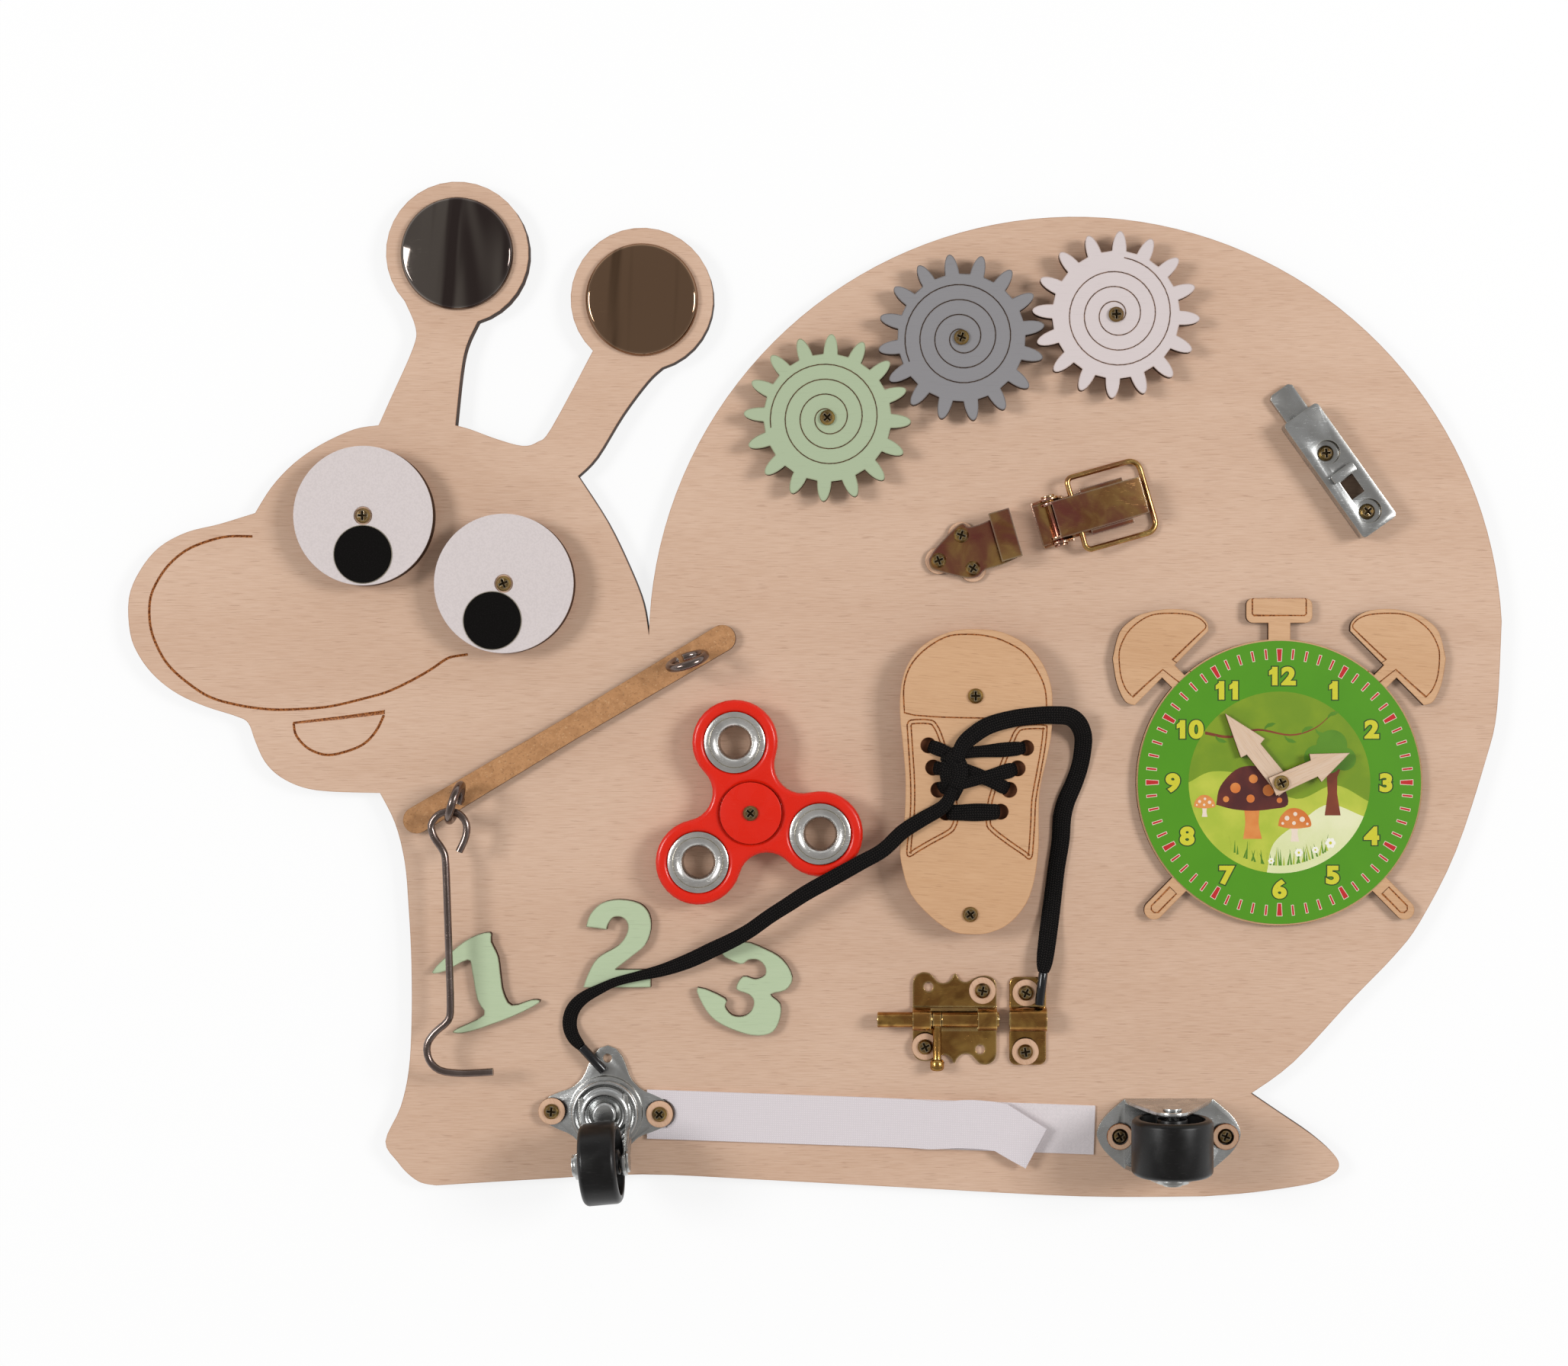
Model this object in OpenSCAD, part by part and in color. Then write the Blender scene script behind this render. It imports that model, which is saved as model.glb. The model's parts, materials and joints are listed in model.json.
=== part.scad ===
// Snail-shaped wooden busy board. Millimetres. +Z is out of the board's face, +Y runs up the
// board, and the origin lies on the flat back, near the middle of the outline.

/* [Board] */
// Thickness of the plywood board
board_t = 6; // [5:0.5:9]
// Radius of the shell's round edge
shell_r = 155.5; // [152:0.5:159]
// Radius of the round tips of the antennas
antenna_tip_r = 26; // [23:0.5:29]
// Radius of the two mirrors
mirror_r = 20.5; // [15:0.5:22]
// Thickness of the two mirrors
mirror_t = 2.5; // [1.5:0.25:4]
// Thickness of the thin plywood: figures, stick and clock
thin_ply = 3; // [2:0.5:5]
// Half the width of the stick at its round ends
stick_end_r = 4.9; // [4:0.1:7]
// Half the width of the stick at its waist
stick_waist = 4.3; // [3.5:0.1:6]

/* [Fasteners] */
// Radius of every wood screw's head
screw_head_r = 2.75; // [2.3:0.05:3.2]
// Height of every wood screw's head
screw_head_h = 1.5; // [1:0.1:2]
// Radius of every wood screw's shank
screw_r = 1.5; // [1.2:0.05:1.7]
// Wood left below a pilot hole
pilot_floor = 1; // [0.5:0.25:2]
// Radial clearance of a screw or rivet in its hole
screw_gap = 0.08; // [0.05:0.01:0.1]
// Radius of the plywood washers
washer_r = 4.9; // [4:0.1:5.5]
// Thickness of the plywood washers
washer_t = 1.5; // [1:0.25:2.5]

/* [Gears] */
// Radius at the bottom of the gear teeth
gear_root_r = 23; // [20:0.5:25]
// Length of a gear tooth
tooth_l = 7.3; // [5:0.1:9]
// Half the width of a gear tooth
tooth_half_w = 2.6; // [1.8:0.1:3]
// Free depth below a tooth in mesh
tooth_bottom_gap = 3.2; // [2.5:0.1:4]
// Thickness of the gears
gear_t = 4; // [3:0.5:6]
// Radius of the spacers behind gears and eyes
spacer_r = 7.5; // [5:0.5:10]
// Height of the spacers behind gears and eyes
spacer_h = 3; // [2:0.5:5]
// Play above and below a turning disc
turn_play = 0.2; // [0.1:0.05:0.4]

/* [Eyes] */
// Radius of the eyes
eye_r = 25.2; // [22:0.2:27]
// Thickness of the wooden eye discs
eye_t = 5; // [4:0.5:7]
// Thickness of the white facing
facing_t = 0.5; // [0.3:0.1:1]
// Radius of the hole in the facing round the screw
facing_hole_r = 3.3; // [3.2:0.05:3.5]
// Radius of the pupils
pupil_r = 10.4; // [8:0.2:10.4]
// Distance from an eye's centre to its pupil's
pupil_offset = 14; // [13.8:0.1:14.6]
// Thickness of the pupils
pupil_t = 0.3; // [0.2:0.1:0.6]

/* [Clock] */
// Radius of the printed dial
dial_r = 51.4; // [46:0.2:54]
// Thickness of the printed dial
dial_t = 0.4; // [0.2:0.1:1]
// Edge of the wooden case that shows round the dial
case_rim = 0.6; // [0.2:0.1:2]
// Thickness of the clock hands
hand_t = 2; // [1.5:0.25:3]
// Reach of the minute hand
minute_l = 32; // [28:0.5:40]
// Reach of the hour hand
hour_l = 27; // [22:0.5:32]
// Half the width of a hand's shaft
hand_half_w = 3.5; // [2.5:0.1:4.5]

/* [Spinner] */
// Distance from the spinner's centre to the middle of a lobe
lobe_offset = 26.1; // [25:0.1:28]
// Radius of a lobe
lobe_r = 15.4; // [14:0.1:16]
// Radius of the narrow waist between two lobes
waist_r = 15; // [14:0.2:17]
// Thickness of the spinner
spinner_t = 7; // [5:0.5:8]
// Radius of the steel weights and of the bearing
weight_r = 11; // [10:0.1:12]
// Radius of the hole in a weight
weight_hole_r = 5.4; // [4:0.2:7]
// Radius of the caps over the bearing
cap_r = 11.1; // [9.5:0.1:12]
// Thickness of the caps' discs
cap_t = 1.2; // [0.8:0.1:2]
// Outer radius of the bearing's inner race
inner_race_r = 6; // [5.8:0.05:6.2]
// Wall of the bearing's outer race
outer_race_wall = 1.8; // [1.4:0.1:2]

/* [Shoe] */
// Thickness of the shoe's plate
shoe_t = 4; // [3:0.5:6]
// Height of the spacers under the shoe
shoe_lift = 6; // [4:0.5:10]
// Radius of the spacers under the shoe
shoe_spacer_r = 5; // [4:0.5:8]
// Radius of the lace holes
lace_hole_r = 2.85; // [2.4:0.05:3.2]
// Width of the flat lace
lace_w = 6.5; // [5:0.1:7]
// Thickness of the flat lace
lace_t = 1.6; // [1.2:0.1:1.8]
// Radius of the lace's end tubes
aglet_r = 1.7; // [1.4:0.05:1.9]
// Length of the lace's end tubes
aglet_l = 12; // [10:0.5:12.5]

/* [Hook and eyes] */
// Radius of the screw eyes' wire
eye_wire_r = 1.5; // [1.2:0.05:1.6]
// Radius of the screw eyes' rings, to the middle of the wire
eye_ring_r = 6.7; // [6.2:0.1:8]
// Height of the rings' centres over the board's face
eye_lift = 11.75; // [11.4:0.05:13]
// Radius of the hook's wire
hook_wire_r = 1.35; // [1:0.05:1.5]

/* [Draw latch] */
// Radius of the latch's pivot pin
latch_pin_r = 1.5; // [1:0.1:1.8]
// Height of the latch's pivots over the board's face
latch_lift = 6; // [5.5:0.1:7]
// Length of the lever from its pivot
lever_l = 33.4; // [30:0.2:34]
// Half the width of the lever
lever_half_w = 6.8; // [6:0.1:7.2]
// Thickness of the latch's sheet steel
sheet_t = 1; // [0.8:0.1:1.2]
// Radius of the bail's wire
bail_wire_r = 1; // [0.8:0.05:1.1]
// Length of the bail from its pivot to its end bar
bail_l = 27.8; // [27.5:0.1:30]
// Half the width of the bail, to the middle of its wire
bail_half_w = 13.5; // [12:0.1:15]

/* [Bolts] */
// Radius of the barrel bolt's rod
rod_r = 2.8; // [2.4:0.05:3]
// Wall of the barrel bolt's tunnels
tunnel_wall = 1.2; // [0.8:0.1:1.6]
// Thickness of the barrel bolt's plates
bolt_plate_t = 1.2; // [0.8:0.1:1.6]
// Radial play of the rod in its tunnels
rod_play = 0.08; // [0.05:0.01:0.1]
// Radius of the rod's knob
knob_r = 2.55; // [2:0.05:3]
// Length of the flat slide bolt's case
slide_case_l = 50.3; // [48:0.1:54]
// Width of the flat slide bolt's case
slide_case_w = 14.8; // [14:0.1:17]
// Height of the flat slide bolt's case
slide_case_h = 8; // [7:0.1:9]
// Width of the flat slide bolt's bar
slide_bar_w = 9.7; // [9:0.1:11]
// Thickness of the flat slide bolt's bar
slide_bar_t = 2.6; // [2:0.1:3]

/* [Castors] */
// Radius of both wheels
wheel_r = 14.5; // [12:0.1:15]
// Width of the swivelling castor's wheel
wheel_left_w = 13.3; // [10:0.1:14]
// Width of the fixed castor's wheel
wheel_right_w = 20; // [16:0.2:21]
// Height of the wheels' axles over the board's face
axle_lift = 26; // [24:0.5:28]
// Radius of the swivelling castor's axle
axle_left_r = 2; // [1.5:0.1:2.5]
// Radius of the fixed castor's axle
axle_right_r = 2.5; // [2:0.1:3]
// Running play of a wheel on its axle and of the swivel on its pin
axle_play = 0.06; // [0.04:0.01:0.1]
// Thickness of the castors' sheet steel
castor_sheet = 1.6; // [1.2:0.1:2]
// Gap between the legs of the swivelling fork
fork_gap = 14.8; // [14.4:0.1:16]
// Distance from the swivel's axis back to the axle
castor_trail = 14; // [12:0.2:16]
// Thickness of the two tapes
tape_t = 0.8; // [0.5:0.1:1.2]
// Width of the two tapes
tape_w = 17.8; // [15:0.2:18]

/* [Hidden] */

$fn = 48;
face = board_t;
// Depth by which a cut runs past the face that it opens
over = 1;
// Depth by which two fused solids reach into each other
sunk = 0.2;

// Places on the board, seen from its face
shell_c = [95, 16.5];
antenna_left_c = [-130.3, 158.8];
antenna_right_c = [-63, 142];
eye_left_c = [-162.8, 62.5];
eye_right_c = [-112, 38];
eye_left_look = -90;
eye_right_look = -107;
gear_green_c = [4.8, 98];
clock_c = [168.8, -34];
spinner_c = [-22.7, -44.8];
stick_ends = [[-144.6, -47.7], [-33.6, 18.3]];
screw_eye_left_c = [-128.7, -40.2];
screw_eye_right_c = [-46, 11.7];
shoe_screws = [[58.3, -2.6], [56.4, -81.3]];
catch_screws = [[53.3, 55.8], [45.1, 46.6], [57.5, 43.7]];
latch_c = [87, 60.75];
latch_turn = 16.2;
slide_bolt_c = [175.5, 99.4];
slide_bolt_turn = -54.5;
barrel_c = [50.9, -120];
strike_c = [77.5, -120];
barrel_screws = [[61, -109.7], [40.2, -130.1]];
barrel_spare_holes = [[41.4, -108.5], [60.2, -131.3]];
strike_screws = [[76.8, -110.5], [76.6, -131.9]];
castor_left_c = [-75.9, -154];
castor_left_turn = -1.5;
castor_left_heading = -85;
castor_hole_at = 19.6;
castor_right_c = [128.8, -162];
castor_right_screws = [[111, -162.8], [149.4, -162.8]];
lace_holes = [[[41.3, -20.4], [76.5, -21.3]], [[43, -28.4], [73.4, -28.7]],
    [[44.9, -36.4], [70.4, -36.4]], [[47.6, -44.6], [67.3, -44.3]]];
lace_knot = [52, -30];

// Gears: sixteen teeth, each gear in mesh with the one before it
teeth = 16;
tooth_step = 360 / teeth;
gear_tip_r = gear_root_r + tooth_l;
gear_distance = gear_tip_r + gear_root_r + tooth_bottom_gap;
gear_line_1 = 30.9;
gear_line_2 = 8.4;
gear_grey_c = gear_green_c + gear_distance * [cos(gear_line_1), sin(gear_line_1)];
gear_white_c = gear_grey_c + gear_distance * [cos(gear_line_2), sin(gear_line_2)];

// Heights
spacer_top = face + spacer_h;
gear_z = spacer_top + turn_play;
eye_z = gear_z;
dial_z = face + thin_ply;
minute_z = dial_z + dial_t + turn_play;
hour_z = minute_z + hand_t + turn_play;
clock_head_z = hour_z + hand_t + turn_play;
gear_head_z = gear_z + gear_t + turn_play;
eye_head_z = eye_z + eye_t + turn_play;
shoe_z = face + shoe_lift;
shoe_top = shoe_z + shoe_t;
spinner_z = face + spacer_h;
spinner_top = spinner_z + spinner_t;
cap_top = spinner_top + turn_play + cap_t;
pivot_bore_r = screw_r + screw_gap;
hinge_gap = 0.05;
ring_z = face + eye_lift;

// Each turning disc's screw: its centre and the height of the underside of its head
pivots = [[eye_left_c, eye_head_z], [eye_right_c, eye_head_z], [gear_green_c, gear_head_z],
    [gear_grey_c, gear_head_z], [gear_white_c, gear_head_z], [clock_c, clock_head_z],
    [spinner_c, cap_top]];
spacers_at = [eye_left_c, eye_right_c, gear_green_c, gear_grey_c, gear_white_c];

// Clock
bell_strap = 6.4;
leg_w = 7;
leg_reach = 68.5;

// Shoe and lace
// The free ends of the lace, from the knot to their end tubes
lace_right_route = [[54, -24, 18.6], [56, -17.5, 18.6], [60, -14, 18], [65, -12, 17.3],
    [73.5, -10.5, 17], [81, -10, 17], [87, -9.5, 16.9], [92, -10, 14.8], [95.5, -12.5, 12.2],
    [97.5, -17, 9.4], [97.5, -22, 7.6], [96.5, -28, 7], [94.5, -34, 7], [91.5, -41, 7],
    [90, -47, 7], [89.5, -55, 7], [88, -65, 7], [87, -73, 7], [86, -81, 7.2], [85, -88, 8.4],
    [84, -95, 10], [83, -102.8, 10.8]];
lace_left_route = [[49, -37, 18.6], [45, -42.5, 18], [39, -47, 17.3], [32, -51.5, 17.2],
    [25, -58, 17.6], [17, -62.5, 18], [8, -67.5, 18.1], [-2, -73, 18.1], [-9, -77.5, 17.9],
    [-16, -82, 17.5], [-23, -87, 17.3], [-30, -91, 15.6], [-37, -94.5, 12.8], [-43, -97.5, 11],
    [-49, -100, 10.2], [-56, -102.5, 9.9], [-64, -104.5, 9.9], [-72, -106.5, 9.9],
    [-78, -109, 9.9], [-83.5, -112, 9.3], [-87.2, -115.5, 7.8], [-89, -119.5, 7],
    [-89, -123.5, 7.4], [-87.4, -127, 8.4], [-84.6, -130, 9.5]];
lace_left_flat = laid_flat(lace_left_route);
lace_right_flat = laid_flat(lace_right_route);

// Gears
gear_phases = [gear_line_1 + tooth_step / 2, gear_line_2, gear_line_2 + 180 + tooth_step / 2];

// Spinner
spinner_turns = [-17, 103, 223];
weight_fit = 0.03;
race_bore_r = 4;
race_end_play = 0.2;
ball_track_r = (inner_race_r + weight_r - outer_race_wall) / 2;
ball_r = (weight_r - outer_race_wall - inner_race_r) / 2 - 0.1;
balls = 9;

// Draw latch
latch_z = face + latch_lift;
lever_rise = 4;
lever_drop = 3.5;
bail_pivot_u = 8.2;
bail_corner = 4;
bail_stub_r = 2.2;
latch_screws = [10.5, 18];
catch_z = face + washer_t;
ear_in = lever_half_w + 0.8;
bail_end_z = face + bail_wire_r + 0.1;
bail_tilt = asin((latch_z - bail_end_z) / bail_l);

// Flat slide bolt
slide_screws = [17.2, 43.1];
slide_window = [25, 36.3];
slide_window_w = 5.5;
slide_play = 0.15;
slide_post_l = 2.6;
slide_cup_r = 4.4;
slide_cup_z = face + slide_play + slide_bar_t + 0.3;

// Barrel bolt
bolt_top = face + bolt_plate_t;
rod_z = bolt_top + rod_r + 0.4;
tunnel_r = rod_r + rod_play;
tunnel_out = tunnel_r + tunnel_wall;
barrel_w = 30.6;
barrel_h = 34;
strike_w = 13.5;
strike_h = 32.4;
strike_play = 0.25;
window = [-8.7, 8.3];
knob_x = -6.4;
rod_ends = [-28.1, 16.1];
knob_arm_r = 1.5;
knob_groove_r = 2;

// Castors
axle_z = face + axle_lift;
castor_plate_top = face + castor_sheet;
castor_left_screws = [for (s = [0, 180]) castor_left_c + at(castor_hole_at, castor_left_turn + s)];
race_h = 2.3;
race_r = 13.3;
crown_r = 12.1;
crown_z = castor_plate_top + race_h + 0.3;
kingpin_r = 3;
kingpin_head_r = 4.4;
fork_ear_r = 5;
castor_plate_side = 14.8;
castor_plate_corner = 24.3;
bracket_l = 52.3;
bracket_w = 25.4;
castor_right_axle_x = 127.5;

// Tapes
tape_c = [-59, -155];
tape_turn = -2.05;
// Gap between the tapes and the fixed castor
tape_end_gap = 0.65;
hook_tape_l = castor_right_c[0] - bracket_l / 2 - tape_end_gap - tape_c[0];
loop_tape_l = 126;
tape_gap = 0.2;

// Hook
// The hook's wire: loop, shank, bend and nose, in a level plane
hook_points = [[-127.6, -58.6], [-125.2, -53.2], [-125, -48.6], [-127.4, -45.2], [-131.2, -44.1],
    [-135.2, -45.4], [-137.6, -49], [-136.5, -53.5], [-133.4, -58.2], [-132.4, -63],
    [-131.8, -80], [-131.2, -98], [-130.7, -114], [-131.6, -119.4], [-136.2, -123.6],
    [-139, -128], [-138.4, -133.4], [-134.6, -137.2], [-128, -138.3], [-121.5, -138.2],
    [-115.3, -137.8]];

// Every static screw: its place and the height that its head sits at
screw_seats = concat(
    [for (p = shoe_screws) [p, shoe_top]],
    [for (p = catch_screws) [p, catch_z + sheet_t]],
    [for (s = slide_screws) [along(slide_bolt_c, slide_bolt_turn, [s, 0]), slide_cup_z + sheet_t]],
    [for (p = concat(barrel_screws, strike_screws)) [p, face + bolt_plate_t + washer_t]],
    [for (p = castor_left_screws) [p, castor_plate_top + washer_t]],
    [for (p = castor_right_screws) [p, face + castor_sheet]],
    [for (u = latch_screws) [along(latch_c, latch_turn, [u, 0]), face + sheet_t]]);

// A point at a distance and an angle from the origin
function at(r, a) = r * [cos(a), sin(a)];

// Points along an arc
function arc(c, r, a0, a1, n) = [for (i = [0:n]) c + at(r, a0 + (a1 - a0) * i / n)];

// A point between b and c on a smooth curve through a, b, c and d
function between(a, b, c, d, t) = 0.5 * (2 * b + (c - a) * t + (2 * a - 5 * b + 4 * c - d) * t * t
    + (3 * b - a - 3 * c + d) * t * t * t);

// A smooth open curve through the points of p, with n steps between two of them
function curve(p, n = 4) = [for (i = [0:len(p) - 2], j = [0:n - 1])
    between(p[max(i - 1, 0)], p[i], p[i + 1], p[min(i + 2, len(p) - 1)], j / n)];

// A smooth closed curve through the points of p
function loop(p, n = 4) = [for (i = [0:len(p) - 1], j = [0:n - 1]) let (m = len(p))
    between(p[(i + m - 1) % m], p[i], p[(i + 1) % m], p[(i + 2) % m], j / n)];

// A place given along and across a line that starts at c and runs at the angle turn
function along(c, turn, p) = c + [p[0] * cos(turn) - p[1] * sin(turn),
    p[0] * sin(turn) + p[1] * cos(turn)];

function unit(v) = v / norm(v);

// Direction of a route at its point i
function heading(p, i) = unit(p[min(i + 1, len(p) - 1)] - p[max(i - 1, 0)]);

// Ring of a flat cord, half_w to each side and half_t up and down
function cord_ring(p, i, half_w, half_t, sides) = let (t = heading(p, i),
    side = unit(cross([0, 0, 1], t)), up = cross(t, side))
    [for (k = [0:sides - 1]) p[i] + side * half_w * cos(360 * k / sides)
        + up * half_t * sin(360 * k / sides)];

// A closed tube along the points of p
module tube(p, half_w, half_t, sides = 8) {
    n = len(p);
    rings = [for (i = [0:n - 1]) each cord_ring(p, i, half_w, half_t, sides)];
    skin = [for (i = [0:n - 2], k = [0:sides - 1]) let (a = i * sides + k,
        b = i * sides + (k + 1) % sides) each [[a, a + sides, b + sides], [a, b + sides, b]]];
    polyhedron(rings, concat(skin, [[for (k = [0:sides - 1]) k]],
        [[for (k = [sides - 1:-1:0]) (n - 1) * sides + k]]), convexity = 6);
}

// ---- Board ----

// The snail's outline, from the shell over the antennas, the head and the foot to the tail
function snail() = let (tip = shell_c + at(shell_r, 179),
    right = arc(antenna_right_c, antenna_tip_r, -73.5, 226.5, 30),
    left = arc(antenna_left_c, antenna_tip_r, -73.5, 222.5, 30))
    concat(
        arc(shell_c, shell_r, 3, 179, 72),
        curve([tip, tip + [-2, 12], tip + [-7, 25], tip + [-15, 41.5], tip + [-25.8, 58.3]]),
        curve([[-86.3, 77.5], [-79.5, 84.5], [-70, 100], [-61, 112], right[0]]), right,
        curve([right[30], [-96, 95], [-101, 90], [-106.5, 88.5], [-116, 91], [-125.5, 94.5],
            [-131, 96]]),
        curve([[-131, 96], [-129, 115], [-127, 125], left[0]]), left,
        curve([left[30], [-145.5, 131.5], [-146.5, 124], [-154.5, 106], [-159, 96]]),
        curve([[-159, 96], [-168, 94.5], [-180, 89], [-190, 82], [-198, 73.5], [-204, 64]]),
        curve([[-204, 64], [-217, 60], [-229, 57], [-239, 51.5], [-246, 43], [-250, 33],
            [-249.5, 20], [-246, 11.5], [-240, 4], [-232, -2], [-222, -6.5], [-211, -10],
            [-206.5, -12.5], [-204, -19], [-200.5, -26.5], [-195, -32], [-186.5, -36],
            [-176, -37.5], [-158.5, -38]]),
        curve([[-158.5, -38], [-153, -49], [-149.5, -63], [-148, -80], [-147, -101],
            [-147, -122], [-148, -139], [-151, -152.5], [-156.5, -165], [-152, -172.5],
            [-148, -177], [-143.5, -180], [-138, -181]]),
        curve([[-138, -181], [-105, -179], [-63, -177], [-18, -179], [38, -182], [97, -185],
            [142, -185]]),
        curve([[142, -185], [160, -183.5], [180, -180.5], [188, -177.5], [191, -174],
            [189, -169.5], [181, -162.5], [170, -155], [159, -147.5]]),
        curve([[159, -147.5], [174.5, -136], [195.5, -113.5], [211, -97.5], [220.5, -85],
            [233.5, -59.5], [244.5, -26], shell_c + at(shell_r, -9), shell_c + at(shell_r, 3)]));

module board_panel() {
    color([0.84, 0.72, 0.62]) difference() {
        linear_extrude(board_t) polygon(snail());
        for (p = concat([for (s = screw_seats) s[0]], [for (s = pivots) s[0]],
            [screw_eye_left_c, screw_eye_right_c]))
            translate([p[0], p[1], pilot_floor]) cylinder(r = pivot_bore_r, h = board_t);
    }
}

module mirrors() {
    color([0.75, 0.78, 0.8]) for (c = [antenna_left_c, antenna_right_c])
        translate([c[0], c[1] - 0.3, face]) bevelled_disc(mirror_r, mirror_t, 1.2, 96);
}

// A disc whose upper edge is cut back at 45 degrees
module bevelled_disc(r, t, bevel, fn = 48) {
    rotate_extrude($fn = fn) polygon([[0, 0], [r, 0], [r, t - bevel], [r - bevel, t], [0, t]]);
}

// ---- Screws and washers ----

// A wood screw whose head sits at height z and whose shank ends in the board
module wood_screw(z, at_angle = 20) {
    edge = screw_head_h * 0.35;
    slot = screw_head_r * 0.3;
    translate([0, 0, pilot_floor]) cylinder(r = screw_r, h = z - pilot_floor, $fn = 24);
    translate([0, 0, z]) difference() {
        rotate_extrude($fn = 32) polygon([[0, 0], [screw_head_r, 0], [screw_head_r, edge],
            [screw_head_r * 0.72, screw_head_h * 0.85], [0, screw_head_h]]);
        translate([0, 0, screw_head_h * 0.4]) rotate(at_angle) linear_extrude(screw_head_h) {
            square([screw_head_r * 1.2, slot], center = true);
            square([slot, screw_head_r * 1.2], center = true);
        }
    }
}

module mounting_screws() {
    color([0.62, 0.5, 0.24]) for (i = [0:len(screw_seats) - 1])
        translate(screw_seats[i][0]) wood_screw(screw_seats[i][1], 37 * i);
}

module pivot_screws() {
    color([0.62, 0.5, 0.24]) for (i = [0:len(pivots) - 1])
        translate(pivots[i][0]) wood_screw(pivots[i][1], 23 * i);
}

module ring(r, hole, h, fn = 48) {
    difference() {
        cylinder(r = r, h = h, $fn = fn);
        translate([0, 0, -over]) cylinder(r = hole, h = h + 2 * over, $fn = 32);
    }
}

module pivot_spacers() {
    color([0.84, 0.72, 0.62]) for (p = spacers_at)
        translate([p[0], p[1], face]) ring(spacer_r, pivot_bore_r, spacer_h);
}

module ply_washers() {
    color([0.86, 0.76, 0.66]) {
        for (p = concat(barrel_screws, strike_screws))
            translate([p[0], p[1], face + bolt_plate_t]) ring(washer_r, pivot_bore_r, washer_t);
        for (p = castor_left_screws)
            translate([p[0], p[1], castor_plate_top]) ring(washer_r, pivot_bore_r, washer_t);
    }
}

module catch_spacers() {
    color([0.86, 0.76, 0.66]) for (p = catch_screws)
        translate([p[0], p[1], face]) ring(washer_r, pivot_bore_r, washer_t);
}

// ---- Figures and stick ----

module figure_plate(points) {
    color([0.67, 0.78, 0.65]) translate([0, 0, face]) linear_extrude(thin_ply) polygon(points);
}

module number_one() {
    figure_plate(loop([[-118, -88.5], [-117.5, -92], [-115, -97.5], [-114, -105],
        [-113, -110.5], [-110, -115], [-102.5, -113], [-100, -114], [-109.5, -119],
        [-125, -124.5], [-131, -125], [-130, -123.5], [-120, -118.5], [-122.5, -113],
        [-124.5, -102], [-126, -98.5], [-134, -102.5], [-139, -103], [-132.5, -96],
        [-125, -90.5]], 3));
}

module number_two() {
    figure_plate(concat(curve([[-83, -86.5], [-81.5, -82], [-77.5, -78], [-71, -76.5],
        [-63.5, -78], [-60, -82], [-59.5, -87.5], [-61.5, -93], [-65.5, -96.5],
        [-72.5, -102]], 3), [[-72.5, -102], [-59.5, -102], [-59.5, -108.5], [-84, -108.5]],
        curve([[-84, -108.5], [-82, -103], [-78.5, -97.5], [-71, -93], [-68, -88.5],
        [-68, -85], [-70, -83], [-73, -83], [-75, -85.5], [-75.5, -87.5]], 3),
        [[-75.5, -87.5]]));
}

module number_three() {
    figure_plate(loop([[-34, -96], [-26, -92], [-18, -94.5], [-11.5, -98.5], [-8, -105],
        [-10.5, -109.5], [-16, -111], [-12.5, -114.5], [-12.5, -119.5], [-15, -124.5],
        [-20.5, -126], [-28, -124.5], [-36, -120.5], [-40.5, -115], [-42.5, -108.5],
        [-32.5, -112.5], [-32.5, -115.5], [-30, -118.5], [-26, -119], [-23, -117],
        [-22, -113.5], [-24, -111], [-28.5, -109], [-26, -104.5], [-21.5, -105.5],
        [-18, -104], [-18, -101], [-20.5, -98.5], [-24, -98.5], [-27, -100]], 3));
}

module stick_bar() {
    run = stick_ends[1] - stick_ends[0];
    length = norm(run);
    turn = atan2(run[1], run[0]);
    half = concat(arc([0, 0], stick_end_r, 90, 270, 16), [[length / 2, -stick_waist]]);
    color([0.74, 0.6, 0.43]) difference() {
        translate([stick_ends[0][0], stick_ends[0][1], face]) rotate(turn)
            linear_extrude(thin_ply)
            polygon(concat(half, [for (p = half) [length - p[0], -p[1]]]));
        for (p = [screw_eye_left_c, screw_eye_right_c])
            translate([p[0], p[1], face - over])
                cylinder(r = eye_wire_r + screw_gap, h = thin_ply + 2 * over);
    }
}

// ---- Screw eyes and hook ----

// A screw eye: its ring stands in a plane at the angle plane, and leans along or across it
module screw_eye(c, plane, lean_along, lean_across) {
    color([0.72, 0.69, 0.6]) translate([c[0], c[1], 0]) {
        translate([0, 0, pilot_floor]) cylinder(r = screw_r, h = face);
        translate([0, 0, face + over])
            cylinder(r = eye_wire_r + 0.05, h = ring_z - eye_ring_r - face - over);
        translate([0, 0, ring_z - eye_ring_r]) rotate(plane)
            rotate([lean_across, -lean_along, 0]) translate([0, 0, eye_ring_r])
            rotate([90, 0, 0]) rotate(-105) rotate_extrude(angle = 338)
            translate([eye_ring_r, 0]) circle(r = eye_wire_r, $fn = 24);
    }
}

module screw_eye_left() {
    screw_eye(screw_eye_left_c, 73, 7, 0);
}

module screw_eye_right() {
    screw_eye(screw_eye_right_c, 18, 0, 15);
}

// ---- Clock ----

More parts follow.
